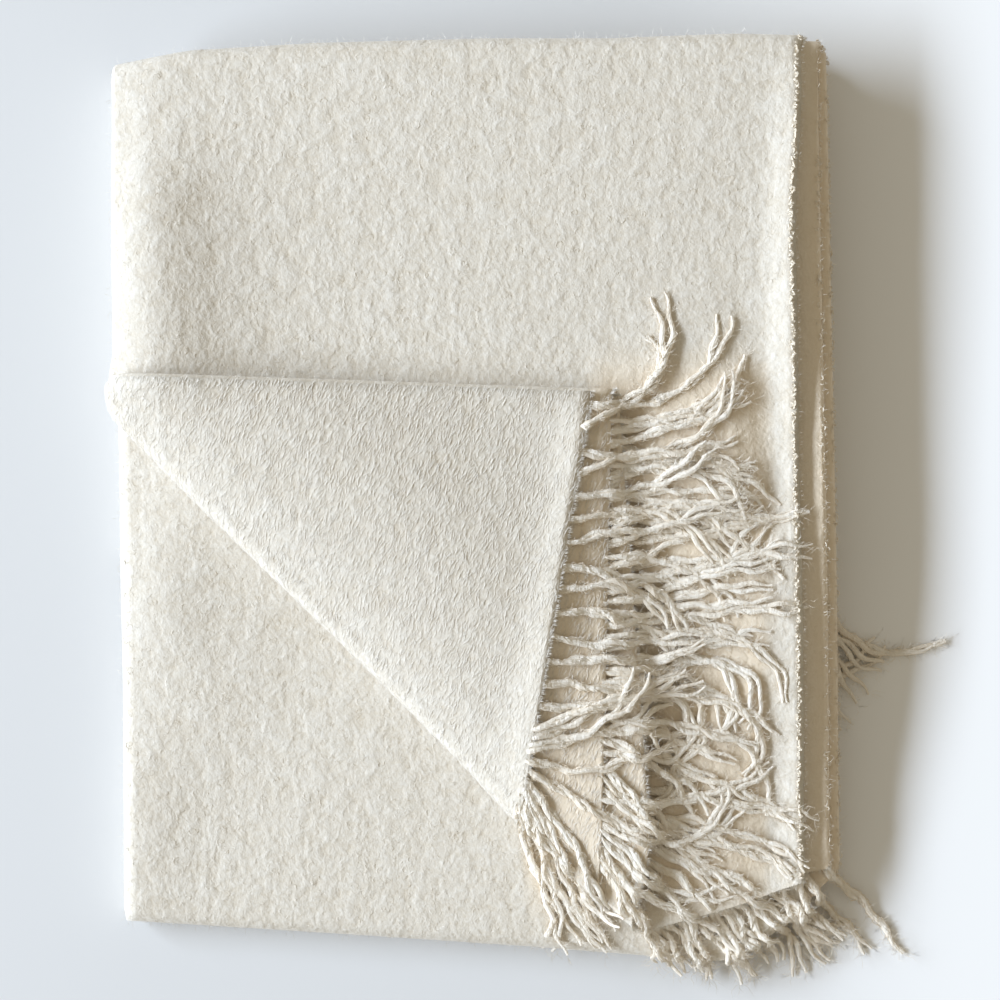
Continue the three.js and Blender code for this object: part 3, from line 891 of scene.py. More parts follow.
@dataclass
class ClothSheet:
    """The woven sheet on its folds, as one closed thin skin.

    Attributes:
        folds: The fold sizes.
        edge: How far the weave goes on past the cut layers' ends, to the roots of the fringe.
        columns, fold_steps: Columns across each layer, and steps around each fold across.
        flap_rows, bend_rows, flat_rows: Rows of the top leg's three stretches.
        turn_rows, leg_rows: Rows around each turn, and of the three lower legs.
        least_row: Least distance between two rows.
        nap_under: How far the nap goes on under the layer above.
        bare_past, bare_near: How far the lower leg's curls go on under the corner and the near edge.
        grid: (rows, points, 3) places of the skin.
        flat_y: Places along before the corner is turned back.
        row_leg, row_stretch: Leg of each row, halves on turns, and its stretch.
    """

    folds: Folds
    edge: float = 5.4
    columns: tuple[int, int, int] = (64, 18, 64)
    fold_steps: int = 6
    flap_rows: int = 36
    bend_rows: int = 12
    flat_rows: int = 48
    turn_rows: int = 9
    leg_rows: tuple[int, int, int] = (26, 8, 8)
    least_row: float = 0.05
    nap_under: float = 6.0
    bare_past: float = 14.0
    bare_near: float = 8.0
    grid: Array = field(init=False)
    flat_y: Array = field(init=False)
    row_leg: Array = field(init=False)
    row_stretch: Array = field(init=False)

    def section(self) -> Array:
        """Middle line of a leg's section: its three layers as one back-and-forth line.

        A layer is straight, and a fold is a half circle: x = stop + r*sin(a), level = centre + r*cos(a).

        Returns:
            Rows x, level, ply, and the side and up parts of the unit normal.
        """
        folds = self.folds
        half_turn = folds.pitch / 2.0
        inset = half_turn + folds.sheet / 2.0
        last = PLIES - 1
        parts: list[Array] = []
        for index, ply in enumerate(folds.plies):
            heading = np.sign(ply.to_x - ply.from_x)
            start = ply.from_x if index == 0 else ply.from_x + heading * inset
            stop = ply.to_x if index == last else ply.to_x - heading * inset
            x = np.linspace(start, stop, self.columns[index])
            flat = np.ones_like(x)
            parts.append(np.stack([x, ply.level * flat, index * flat, 0.0 * flat, -heading * flat]))
            if index == last:
                continue
            share = np.arange(1, self.fold_steps) / self.fold_steps
            angle = np.pi * share
            parts.append(np.stack([
                stop + heading * half_turn * np.sin(angle),
                ply.level - half_turn + half_turn * np.cos(angle),
                index + share,
                -np.sin(angle),
                -heading * np.cos(angle),
            ]))
        return np.concatenate(parts, axis=1)

    def outline(self) -> tuple[Array, Array, Array]:
        """Closed outline of the section: along one face and back along the other.

        Returns:
            Arrays x, level and ply of the outline's points.
        """
        x, level, ply, side, up = self.section()
        half = self.folds.sheet / 2.0
        outline_x = np.concatenate([x + half * side, (x - half * side)[::-1]])
        outline_level = np.concatenate([level + half * up, (level - half * up)[::-1]])
        return outline_x, outline_level, np.concatenate([ply, ply[::-1]])

    def top_leg_rows(self, x: Array, ply: Array) -> Array:
        """Places along the top leg: three stretches that end at the bend's two lines.

        Args:
            x: Outline's places across.
            ply: Outline's layers.

        Returns:
            (rows, points) places along, rising from the near end to the far fold.
        """
        folds = self.folds
        counts = (self.flap_rows, self.bend_rows, self.flat_rows)
        knots = [folds.ply_end(ply, x) - self.edge]
        for past, count in zip((np.pi * folds.bend, 0.0), counts):
            knots.append(np.maximum(folds.corner_line(x, past), knots[-1] + count * self.least_row))
        knots.append(folds.far_fold(x, 0))
        rows = []
        for low, high, count in zip(knots, knots[1:], counts):
            shares = np.arange(count)[:, None] / count
            rows.append(low + (high - low) * shares)
        return np.concatenate(rows)

    def build_grid(self) -> None:
        """Carry the outline along the four legs and their turns, then turn the corner back and settle.

        A turn's rows go round the middle between two legs, at half a leg's height plus or minus the level.
        """
        folds = self.folds
        x, level, ply = self.outline()
        rows: list[Array] = []
        for y in self.top_leg_rows(x, ply):
            place = folds.across(x, y, 0)
            lifted = np.where(level > folds.pitch / 2.0, folds.lift(place, y), 0.0)
            rows.append(np.stack([place, y, folds.leg_middle(0) + level + lifted], axis=1))
        top = len(rows)
        legs = [0.0] * top
        stretches = [Stretch.FLAP] * self.flap_rows + [Stretch.BEND] * self.bend_rows
        stretches += [Stretch.FLAT] * self.flat_rows
        far_end = np.full_like(x, folds.far_end)
        edges = (folds.far_fold(x, 0), folds.near_fold(x), folds.far_fold(x, 2), far_end)
        for leg, (fold, last) in enumerate(zip(edges, edges[1:])):
            out = 1.0 if leg % 2 == 0 else -1.0
            radius = folds.strip / 2.0 + out * level
            centre = (folds.leg_middle(leg) + folds.leg_middle(leg + 1)) / 2.0
            for angle in np.linspace(0.0, np.pi, self.turn_rows + 1):
                place = folds.across(x, fold, leg + angle / np.pi)
                height = centre + radius * np.cos(angle)
                rows.append(np.stack([place, fold + out * radius * np.sin(angle), height], axis=1))
            legs += [leg + 0.5] * (self.turn_rows + 1)
            stretches += [Stretch.TURN] * (self.turn_rows + 1)
            count = self.leg_rows[leg]
            stop = count + 1 if leg == LEGS - 2 else count
            shares = np.arange(1, stop) / count
            for share in shares:
                y = fold + (last - fold) * share
                place = folds.across(x, y, leg + 1)
                rows.append(np.stack([place, y, folds.leg_middle(leg + 1) - out * level], axis=1))
            legs += [leg + 1.0] * len(shares)
            stretches += [Stretch.LEG] * len(shares)
        grid = np.stack(rows)
        self.flat_y = grid[:, :, 1].copy()
        grid[:top] = folds.turn_back(grid[:top])
        self.grid = folds.settle(grid)
        self.row_leg = np.array(legs)
        self.row_stretch = np.array(stretches)

    def faces(self) -> list[Array]:
        """Quads of the skin and of the two ends, pointing outwards.

        Returns:
            One array of quads of point numbers.
        """
        rows, count = self.grid.shape[:2]
        number = np.arange(rows * count).reshape(rows, count)
        ahead = np.roll(number, -1, axis=1)
        skin = np.stack([number[:-1], number[1:], ahead[1:], ahead[:-1]], axis=-1).reshape(-1, 4)
        k = np.arange(count // 2 - 1)
        cap = np.stack([k, k + 1, count - 2 - k, count - 1 - k], axis=-1)
        return [np.concatenate([skin, cap, cap[:, ::-1] + (rows - 1) * count])]

    def cells(self, zone: Zone) -> Cells:
        """Cells of the skin that show in a zone.

        Args:
            zone: The zone.

        Returns:
            Its cells, with normals away from the cloth.
        """
        ahead = np.roll(self.grid, -1, axis=1)
        corners = np.stack([self.grid[:-1], self.grid[1:], ahead[1:], ahead[:-1]], axis=2)
        normals = unit(np.cross(corners[:, :, 2] - corners[:, :, 0], corners[:, :, 3] - corners[:, :, 1]))
        shown = np.broadcast_to(self.shown(zone, corners.mean(axis=2)), normals.shape[:2])
        return Cells(corners[shown], normals[shown])

    def shown(self, zone: Zone, centre: Array) -> Array:
        """Whether cells belong to a zone and show there.

        Args:
            zone: The zone.
            centre: (rows, points, 3) middles of the cells.

        Returns:
            Truth of each cell, or of each column where all rows are alike.
        """
        folds = self.folds
        x, y = centre[..., 0], centre[..., 1]
        flat_x, _, layer = self.outline()
        flat_y = self.flat_y[:-1]
        leg = self.row_leg[:-1, None]
        stretch = self.row_stretch[:-1, None]
        first_face = np.arange(len(layer)) < len(layer) // 2
        on_top = first_face & (layer == 0.0)
        under = ~first_face & (layer == 2.0)
        if zone is Zone.TOP:
            return on_top & (stretch == Stretch.FLAT) & ~folds.under_flap(x, y)
        if zone is Zone.FLAP:
            middle = first_face & (layer == 1.0) & (flat_y < folds.layer_end(2, flat_x) + self.nap_under)
            lowest = ~first_face & (layer == 0.0) & (flat_y < folds.layer_end(1, flat_x) + self.nap_under)
            return (stretch <= Stretch.BEND) & (under | middle | lowest)
        if zone is Zone.EXPOSED:
            near = y < folds.layer_end(0, x) + self.bare_near
            return under & (leg == 1) & ((folds.past_corner(x, y) > -self.bare_past) | near)
        if zone is Zone.FOLD:
            left = first_face & (layer > 0.0) & (layer < 1.0)
            return left | ((stretch == Stretch.TURN) & np.where(leg == 1.5, under, on_top))
        return ~first_face & (layer > 1.0) & (layer < 2.0)

    def build(self, material: Material) -> Piece:
        """Make the sheet's piece.

        Args:
            material: Finish of the weave.

        Returns:
            The piece, which replaces the solid of the cloth.
        """
        self.build_grid()
        folds = self.folds
        x, _, ply = self.outline()
        # Painted warm shade: in the gaps between the fringe's strands and on the shaded right side of the
        # stack.
        beside = folds.painted_shade_side * smooth_step(*folds.side_ease, x) * (ply > 0.5)
        painted_shade = folds.painted_shade_gaps * folds.painted_shade(self.grid[..., 0], self.grid[..., 1])
        painted_shade = np.maximum(painted_shade, beside[None, :])
        return new_piece("cloth_sheet", self.grid.reshape(-1, 3), self.faces(), material, painted_shade=painted_shade)


@dataclass(frozen=True)
class Curls:
    """Boucle curls: short arcs of yarn that stand on the cloth.

    Attributes:
        radius, yarn: Least and greatest radius of a curl, and half thickness of its yarn.
        sweep, tilt, start: Limits, in degrees, of the angle that it goes round, of its plane from the
            upright, and of where it starts.
        stand: Shares of its radius and of its yarn that its centre stands over the cloth.
        widen, thin: Greatest share that its radius changes by, and share of its yarn lost at its ends.
        tones: Least and greatest tone.
        stops, sides: Points along a curl, and around its yarn.
    """

    radius: Span = (0.9, 2.6)
    yarn: Span = (0.06, 0.12)
    sweep: Span = (90.0, 260.0)
    tilt: Span = (66.0, 88.0)
    start: Span = (-70.0, -10.0)
    stand: Span = (0.5, 0.3)
    widen: float = 0.35
    thin: float = 0.35
    tones: Span = (-0.12, 0.22)
    stops: int = 5
    sides: int = 3

    def arrays(self, places: Array, normals: Array, random: Random) -> Part:
        """Points, faces and tones of one curl at each place.

        A curl is centre + radius * (cos(angle) * a + sin(angle) * b), with a level in the surface and b
        leaning over from the normal. Its section stands around that line.

        Args:
            places: (N, 3) places on the cloth.
            normals: (N, 3) normals there.
            random: Source of the draws.

        Returns:
            Points, faces and tones.
        """
        count = len(places)
        turn = random.uniform(0.0, TURN, (count, 1))
        first = perpendicular(normals)
        level = np.cos(turn) * first + np.sin(turn) * np.cross(normals, first)
        lean = np.radians(random.uniform(*self.tilt, (count, 1)))
        upright = np.cos(lean) * normals + np.sin(lean) * np.cross(normals, level)
        radius = random.uniform(*self.radius, (count, 1))
        yarn = random.uniform(*self.yarn, (count, 1))
        centre = places + normals * (self.stand[0] * radius * np.cos(lean) + self.stand[1] * yarn)
        start = np.radians(random.uniform(*self.start, (count, 1)))
        sweep = np.radians(random.uniform(*self.sweep, (count, 1)))
        share = np.linspace(0.0, 1.0, self.stops)[None, :]
        angle = (start + sweep * share)[..., None]
        outward = np.cos(angle) * level[:, None] + np.sin(angle) * upright[:, None]
        grow = 1.0 + self.widen * (random.random((count, 1, 1)) - 0.5) * 2.0 * share[..., None]
        line = centre[:, None] + radius[:, None] * grow * outward
        axis = np.cross(level, upright)[:, None]
        taper = (1.0 - self.thin + self.thin * np.sin(np.pi * share))[..., None] * yarn[:, None]
        points = line[:, :, None] + taper[:, :, None] * ring(outward, -axis, self.sides)
        tones = np.repeat(random.uniform(*self.tones, count), self.stops * self.sides)
        return points.reshape(-1, 3), tube_faces(count, self.stops, self.sides), tones


@dataclass(frozen=True)
class Nap:
    """Brushed nap: fine fibres combed one way over the turned-back corner.

    Attributes:
        heading, wander: Direction that the fibres lie in, in degrees from +X, and how far they stray from it.
        length: Least and greatest length.
        half: Least and greatest half thickness.
        rise, rises: Height of a fibre's middle over the cloth, and its least and greatest share.
        tip_rise: Share of that height that its tip has.
        bow: How far its middle strays sideways.
        tones: Least and greatest tone.
    """

    heading: float = 66.0
    wander: float = 16.0
    length: Span = (4.0, 9.0)
    half: Span = (0.08, 0.15)
    rise: float = 0.32
    rises: Span = (0.5, 1.5)
    tip_rise: float = 0.9
    bow: float = 0.5
    tones: Span = (-0.1, 0.25)

    def arrays(self, places: Array, normals: Array, random: Random) -> Part:
        """Points, faces and tones of one fibre at each place.

        A fibre's root and tip lie half its length before and behind its place along the comb direction,
        which is laid into the surface, and its middle bows up and sideways.

        Args:
            places: (N, 3) places on the cloth.
            normals: (N, 3) normals there.
            random: Source of the draws.

        Returns:
            Points, faces and tones.
        """
        count = len(places)
        angle = np.radians(random.normal(self.heading, self.wander, count))
        comb = np.stack([np.cos(angle), np.sin(angle), np.zeros(count)], axis=1)
        comb = unit(comb - normals * np.sum(comb * normals, axis=1, keepdims=True))
        length = random.uniform(*self.length, (count, 1))
        half = random.uniform(*self.half, (count, 1))
        rise = self.rise * random.uniform(*self.rises, (count, 1))
        bow = np.cross(normals, comb) * random.normal(0.0, self.bow, (count, 1))
        roots = places - comb * length / 2.0
        tips = places + comb * length / 2.0 + normals * rise * self.tip_rise
        points, faces = spindles(roots, places + normals * rise + bow, tips, half)
        return points, faces, np.repeat(random.uniform(*self.tones, count), SPINDLE_POINTS)


@dataclass(frozen=True)
class Fuzz:
    """Loose hairs that stand off the cloth's curls and blur its edges.

    Attributes:
        length, half: Least and greatest length, and half thickness.
        outward: Least and greatest weight of the normal in a hair's direction.
        least_out: Least share of the normal in it.
        bend: Share of its length that its middle strays by.
        tones: Least and greatest tone.
    """

    length: Span = (2.5, 7.0)
    half: float = 0.1
    outward: Span = (0.2, 0.9)
    least_out: float = 0.1
    bend: float = 0.15
    tones: Span = (0.0, 0.3)

    def arrays(self, places: Array, normals: Array, random: Random) -> Part:
        """Points, faces and tones of one hair at each place, in a stray direction that leans outwards.

        Args:
            places: (N, 3) places on the cloth.
            normals: (N, 3) normals there.
            random: Source of the draws.

        Returns:
            Points, faces and tones.
        """
        count = len(places)
        stray = unit(random.normal(0.0, 1.0, (count, 3)))
        aim = unit(normals * random.uniform(*self.outward, (count, 1)) + stray)
        out = np.sum(aim * normals, axis=1, keepdims=True)
        aim = unit(aim + normals * np.maximum(self.least_out - out, 0.0))
        length = random.uniform(*self.length, (count, 1))
        bend = unit(random.normal(0.0, 1.0, (count, 3))) * length * self.bend
        middles = places + aim * length * 0.5 + bend
        points, faces = spindles(places, middles, places + aim * length, np.full((count, 1), self.half))
        return points, faces, np.repeat(random.uniform(*self.tones, count), SPINDLE_POINTS)


class Strand(NamedTuple):
    """One strand of fringe, seen from above.

    Attributes:
        heading: Direction where it leaves the edge, in degrees from +X.
        turn: Turn that it makes by its tip.
        swing: Swing of its waves.
        length: Length from root to tip.
    """

    heading: float
    turn: float
    swing: float
    length: float


Rooted = tuple[float, Strand]


@dataclass(frozen=True)
class FringeRow:
    """A row of strands on one layer's near edge.

    Attributes:
        node: Solid that the row stands for.
        ply: Layer that carries it.
        turned: Whether it is on the corner turned back.
        from_x, to_x: First and last root across the layer.
        strands: The strands.
        between: How many looser strands lie between two of them.
        from_gap: Number of the first gap that has them.
        extra: Further loose strands, each with the place of its root across the layer.
        stray: How far a looser strand's values stray from those of its neighbours.
    """

    node: str
    ply: int
    turned: bool
    from_x: float
    to_x: float
    strands: tuple[Strand, ...]
    between: int = 0
    from_gap: int = 0
    extra: tuple[Rooted, ...] = ()
    stray: Strand = Strand(11.0, 20.0, 3.0, 6.0)

    def firm(self) -> list[Rooted]:
        """The strands of the solid, at even steps across the layer.

        Returns:
            Place of the root across the layer, and the strand.
        """
        numbers = np.arange(len(self.strands))
        roots = self.from_x + (self.to_x - self.from_x) * numbers / (len(self.strands) - 1)
        return list(zip(roots, self.strands))

    def looser(self, random: Random) -> list[Rooted]:
        """The looser strands, each a blend of its two neighbours that strays from them.

        Args:
            random: Source of the draws.

        Returns:
            Place of the root across the layer, and the strand.
        """
        result = list(self.extra)
        pitch = (self.to_x - self.from_x) / (len(self.strands) - 1)
        for number, (one, other) in enumerate(zip(self.strands, self.strands[1:])):
            for step in range(self.between if number >= self.from_gap else 0):
                share = (step + 1.0) / (self.between + 1.0)
                blend = np.array(one) * (1.0 - share) + np.array(other) * share
                strand = Strand(*(blend + random.normal(0.0, 1.0, len(blend)) * self.stray))
                result.append((self.from_x + pitch * (number + share), strand))
        return result


def strands(*rows: tuple[float, float, float, float]) -> tuple[Strand, ...]:
    """Strands from rows of heading, turn, swing and length."""
    return tuple(Strand(*row) for row in rows)


def loose_strands(*rows: tuple[float, float, float, float, float]) -> tuple[Rooted, ...]:
    """Strands with their roots, from rows of root, heading, turn, swing and length."""
    return tuple((row[0], Strand(*row[1:])) for row in rows)


TOP_ROW = strands(
    (0, 135, 4, 80), (26, 90, 4, 112), (-8, 100, 5, 124), (20, -55, 4, 106), (4, 50, 3, 96),
    (14, -78, 4, 107), (8, 6, 8, 102), (-4, -62, 5, 98), (10, -75, 5, 84), (0, -50, 6, 90),
    (-6, 14, 6, 100), (-4, 20, 8, 104), (-6, 16, 6, 96), (4, 10, 8, 108), (16, 6, 5, 104),
    (14, 60, 4, 92), (-50, -20, 6, 100), (-70, 24, 8, 104),
)
MIDDLE_ROW = strands(
    (10, 72, 4, 108), (10, 40, 4, 92), (16, -95, 4, 98), (4, -6, 6, 90), (20, -90, 4, 96),
    (2, 4, 8, 112), (4, 2, 6, 108), (6, -10, 8, 96), (6, -230, 4, 122), (-8, -6, 6, 100),
    (-14, -50, 5, 80), (-34, -10, 6, 106), (-26, 110, 3, 104), (-60, 16, 8, 100),
)
BOTTOM_ROW = strands(
    (-10, 80, 4, 92), (4, -45, 4, 106), (2, -2, 8, 118), (6, 0, 7, 118), (4, 2, 8, 113),
    (18, -200, 3, 118), (24, -150, 4, 116), (-10, -30, 5, 108), (-4, -44, 4, 112), (-44, 14, 8, 98),
)
FLAT_TOP_ROW = strands(
    (-50, -20, 12, 44), (-48, -30, 14, 52), (-44, -30, 14, 62), (-58, 20, 16, 56), (-42, -40, 14, 72),
    (-50, 20, 16, 60), (-66, 40, 16, 58),
)
FLAT_LOW_ROW = strands((-64, 12, 6, 92), (-54, 6, 6, 88), (-42, -10, 6, 90))
FAR_ROW = strands((-58, 84, 8, 128), (-54, -52, 10, 96), (-70, 112, 8, 138), (-70, -36, 8, 90))
FAR_PLAIN = Strand(-90, 0, 7, 92)
TOP_LOOSE = loose_strands(
    (-14, -56, -10, 5, 108), (-9, -62, 4, 6, 114), (-5, -66, 14, 6, 104), (-2, -72, 20, 5, 96),
)
MIDDLE_LOOSE = loose_strands((8, -38, -24, 5, 104), (16, -62, 14, 6, 96), (21, -52, -20, 7, 88))
BOTTOM_LOOSE = loose_strands(
    (2, -14, -26, 5, 104), (10, -4, -40, 5, 112), (18, -22, -20, 5, 106), (26, -30, -30, 6, 100),
)
FAR_LOOSE = loose_strands(
    (184, -62, 40, 8, 96), (175, -74, 16, 10, 118), (180, -66, 20, 9, 104), (184, -50, -60, 12, 100),
)


@dataclass(frozen=True)
class Yarn:
    """A soft yarn along a line: wool fibres that wind round it, loose hairs, and a lumpy core.

    Attributes:
        half, flat, twist: Half thickness, its share of that upwards, and length of one turn.
        fibres, fibre_*: Number of fibres, points along each, half thickness, and as shares where they end
            and how far out they wind.
        loose, loose_waves: How far a fibre swings in and out, as a share, and the length of those waves.
        wound_at, wound, taper_at, taper: Tables along a fibre of how wide it winds and of its thickness.
        core_sides, core_at, core: Points around the core, and table along it of its thickness.
        lumps, lump_sizes, lump: Number of lumps along the yarn, limits of their sizes, and their share.
        crimp, crimp_*, second_*: Swing, length and rise of the small waves left from the weave, and the
            shares of a second set.
        hairs, hair_*: Number of hairs, half thickness, lengths, growth towards the tip, lean, root and bend.
        underside_shade, underside_level: Painted shade: how much deeper and warmer the underside's tone is,
        and the height where it is even.
        tones, fibre_tones, hair_tone: Limits of the tones of yarns and fibres, and how much paler hairs are.
    """

    half: float = 1.8
    flat: float = 0.7
    twist: float = 24.0
    fibres: int = 6
    fibre_stops: int = 22
    fibre_half: Span = (0.16, 0.36)
    fibre_ends: Span = (0.8, 1.0)
    fibre_reach: Span = (0.75, 1.15)
    loose: float = 0.7
    loose_waves: Span = (9.0, 24.0)
    wound_at: Table = (0.0, 0.05, 0.3, 0.75, 1.0)
    wound: Table = (0.7, 0.95, 1.0, 1.1, 1.25)
    taper_at: Table = (0.0, 0.1, 0.8, 1.0)
    taper: Table = (0.9, 1.0, 0.85, 0.25)
    core_sides: int = 8
    core_at: Table = (0.0, 0.05, 0.3, 0.8, 1.0)
    core: Table = (0.75, 1.0, 1.05, 1.0, 0.45)
    lumps: int = 24
    lump_sizes: Span = (-1.5, 2.0)
    lump: float = 0.2
    crimp: float = 0.9
    crimp_length: float = 23.0
    second_swing: float = 0.7
    second_length: float = 1.73
    crimp_rise: float = 4.0
    hairs: int = 130
    hair_half: float = 0.11
    hair_length: Span = (2.0, 5.5)
    hair_growth: Span = (0.8, 1.6)
    hair_ahead: Span = (0.5, 0.9)
    hair_root: float = 0.6
    hair_bend: float = 0.25
    underside_shade: float = 0.9
    underside_level: float = 0.4
    tones: Span = (-0.1, 0.1)
    fibre_tones: Span = (-0.1, 0.25)
    hair_tone: float = 0.15

    def shade_underside(self, height: Array) -> Array:
        """Painted shade: change of tone at a height on the yarn's side, from -1 at its underside to 1 at its
        top.
        """
        return self.underside_shade * (height - self.underside_level) / 2.0

    def lumpy(self, at: Array, sizes: Array) -> Array:
        """Share of the yarn's thickness along it, from the sizes of its lumps."""
        return 1.0 + self.lump * np.interp(at, np.linspace(0.0, 1.0, self.lumps), sizes)

    def crimped(self, far: Array, random: Random) -> Array:
        """Sideways swing left from the weave: two sine waves that grow from the root.

        Args:
            far: Distance along the yarn.
            random: Source of the draws.

        Returns:
            Moves sideways.
        """
        start = random.uniform(0.0, TURN, 2)
        waves = np.sin(TURN * far / self.crimp_length + start[0])
        waves += self.second_swing * np.sin(TURN * far / (self.second_length * self.crimp_length) + start[1])
        return self.crimp * waves * np.minimum(1.0, self.crimp_rise * far / far[-1])

    def parts(self, line: Array, low: float, random: Random) -> list[Part]:
        """Fibres, hairs and core of one yarn.

        A fibre keeps its share of the yarn's radius, goes round the line once for each twist length and
        swings in and out by its own waves. The yarn widens towards its frayed tip, and the whole line
        swings sideways by the crimp.

        Args:
            line: (stops, 3) middle of the yarn.
            low: Lowest height that it may reach.
            random: Source of the draws.

        Returns:
            Parts for join_parts.
        """
        far = distance_along(line)
        share = far / far[-1]
        ahead = unit(np.gradient(line, axis=0))
        side = perpendicular(ahead)
        upright = np.cross(ahead, side)
        line = line + side * self.crimped(far, random)[:, None]
        single = (self.fibres, 1)
        steps = np.linspace(0.0, 1.0, self.fibre_stops)
        at = steps[None, :] * random.uniform(*self.fibre_ends, single)
        middle, beside, above = (between(at, share, rows) for rows in (line, side, upright))
        sizes = np.clip(random.normal(0.0, 1.0, self.lumps), *self.lump_sizes)
        swing = TURN * at * far[-1] / random.uniform(*self.loose_waves, single)
        swing = 1.0 + self.loose * np.sin(swing + random.uniform(0.0, TURN, single))
        reach = self.half * random.uniform(*self.fibre_reach, single) * self.lumpy(at, sizes) * swing
        reach = reach * np.interp(at, self.wound_at, self.wound)
        angle = random.uniform(0.0, TURN, single) + TURN * at * far[-1] / self.twist
        centre = middle + (reach * np.cos(angle))[..., None] * beside
        centre = centre + (self.flat * reach * np.sin(angle))[..., None] * above
        half = random.uniform(*self.fibre_half, single) * np.interp(steps, self.taper_at, self.taper)
        course = unit(np.gradient(centre, axis=1))
        across = perpendicular(course)
        section = ring(across, np.cross(course, across), FIBRE_SIDES)
        wool = centre[:, :, None] + half[..., None, None] * section
        wool_faces = tube_faces(self.fibres, self.fibre_stops, FIBRE_SIDES)
        tone = random.uniform(*self.tones)
        # Painted shade: fibres on the yarn's underside take a deeper, warmer tone.
        wool_tones = tone + random.uniform(*self.fibre_tones, single) + self.shade_underside(np.sin(angle))
        hair, hair_faces = self.loose_hairs(line, (ahead, side, upright), random)
        thick = self.half * np.interp(share, self.core_at, self.core) * self.lumpy(share, sizes)
        core = line[:, None] + thick[:, None, None] * ring(side, self.flat * upright, self.core_sides)
        # Painted shade: the core's underside takes the same deeper tone.
        core_angle = TURN * np.arange(self.core_sides) / self.core_sides
        core_tones = np.tile(tone + self.shade_underside(np.sin(core_angle)), len(line))
        parts = [
            (wool.reshape(-1, 3), wool_faces, np.repeat(wool_tones, FIBRE_SIDES)),
            (hair, hair_faces, np.full(len(hair), tone + self.hair_tone)),
            (core.reshape(-1, 3), tube_faces(1, len(line), self.core_sides), core_tones),
        ]
        for points, _, _ in parts:
            points[:, 2] = np.maximum(points[:, 2], low)
        return parts

    def loose_hairs(
        self, line: Array, axes: tuple[Array, Array, Array], random: Random
    ) -> tuple[Array, list[Array]]:
        """Fine hairs that stand off the yarn, longer towards its tip.

        Args:
            line: (stops, 3) middle of the yarn.
            axes: Directions ahead, sideways and up at each stop.
            random: Source of the draws.

        Returns:
            Points and triangles.
        """
        ahead, side, upright = axes
        single = (self.hairs, 1)
        chosen = random.integers(0, len(line), self.hairs)
        angle = random.uniform(0.0, TURN, single)
        out = np.cos(angle) * side[chosen] + np.sin(angle) * upright[chosen]
        aim = unit(out + ahead[chosen] * random.normal(*self.hair_ahead, single))
        growth = self.hair_growth[0] + self.hair_growth[1] * chosen[:, None] / len(line)
        size = random.uniform(*self.hair_length, single) * growth
        roots = line[chosen] + out * self.half * self.hair_root
        bend = unit(random.normal(0.0, 1.0, (self.hairs, 3))) * size * self.hair_bend
        middles = roots + aim * size / 2.0 + bend
        return spindles(roots, middles, roots + aim * size, np.full_like(size, self.hair_half))


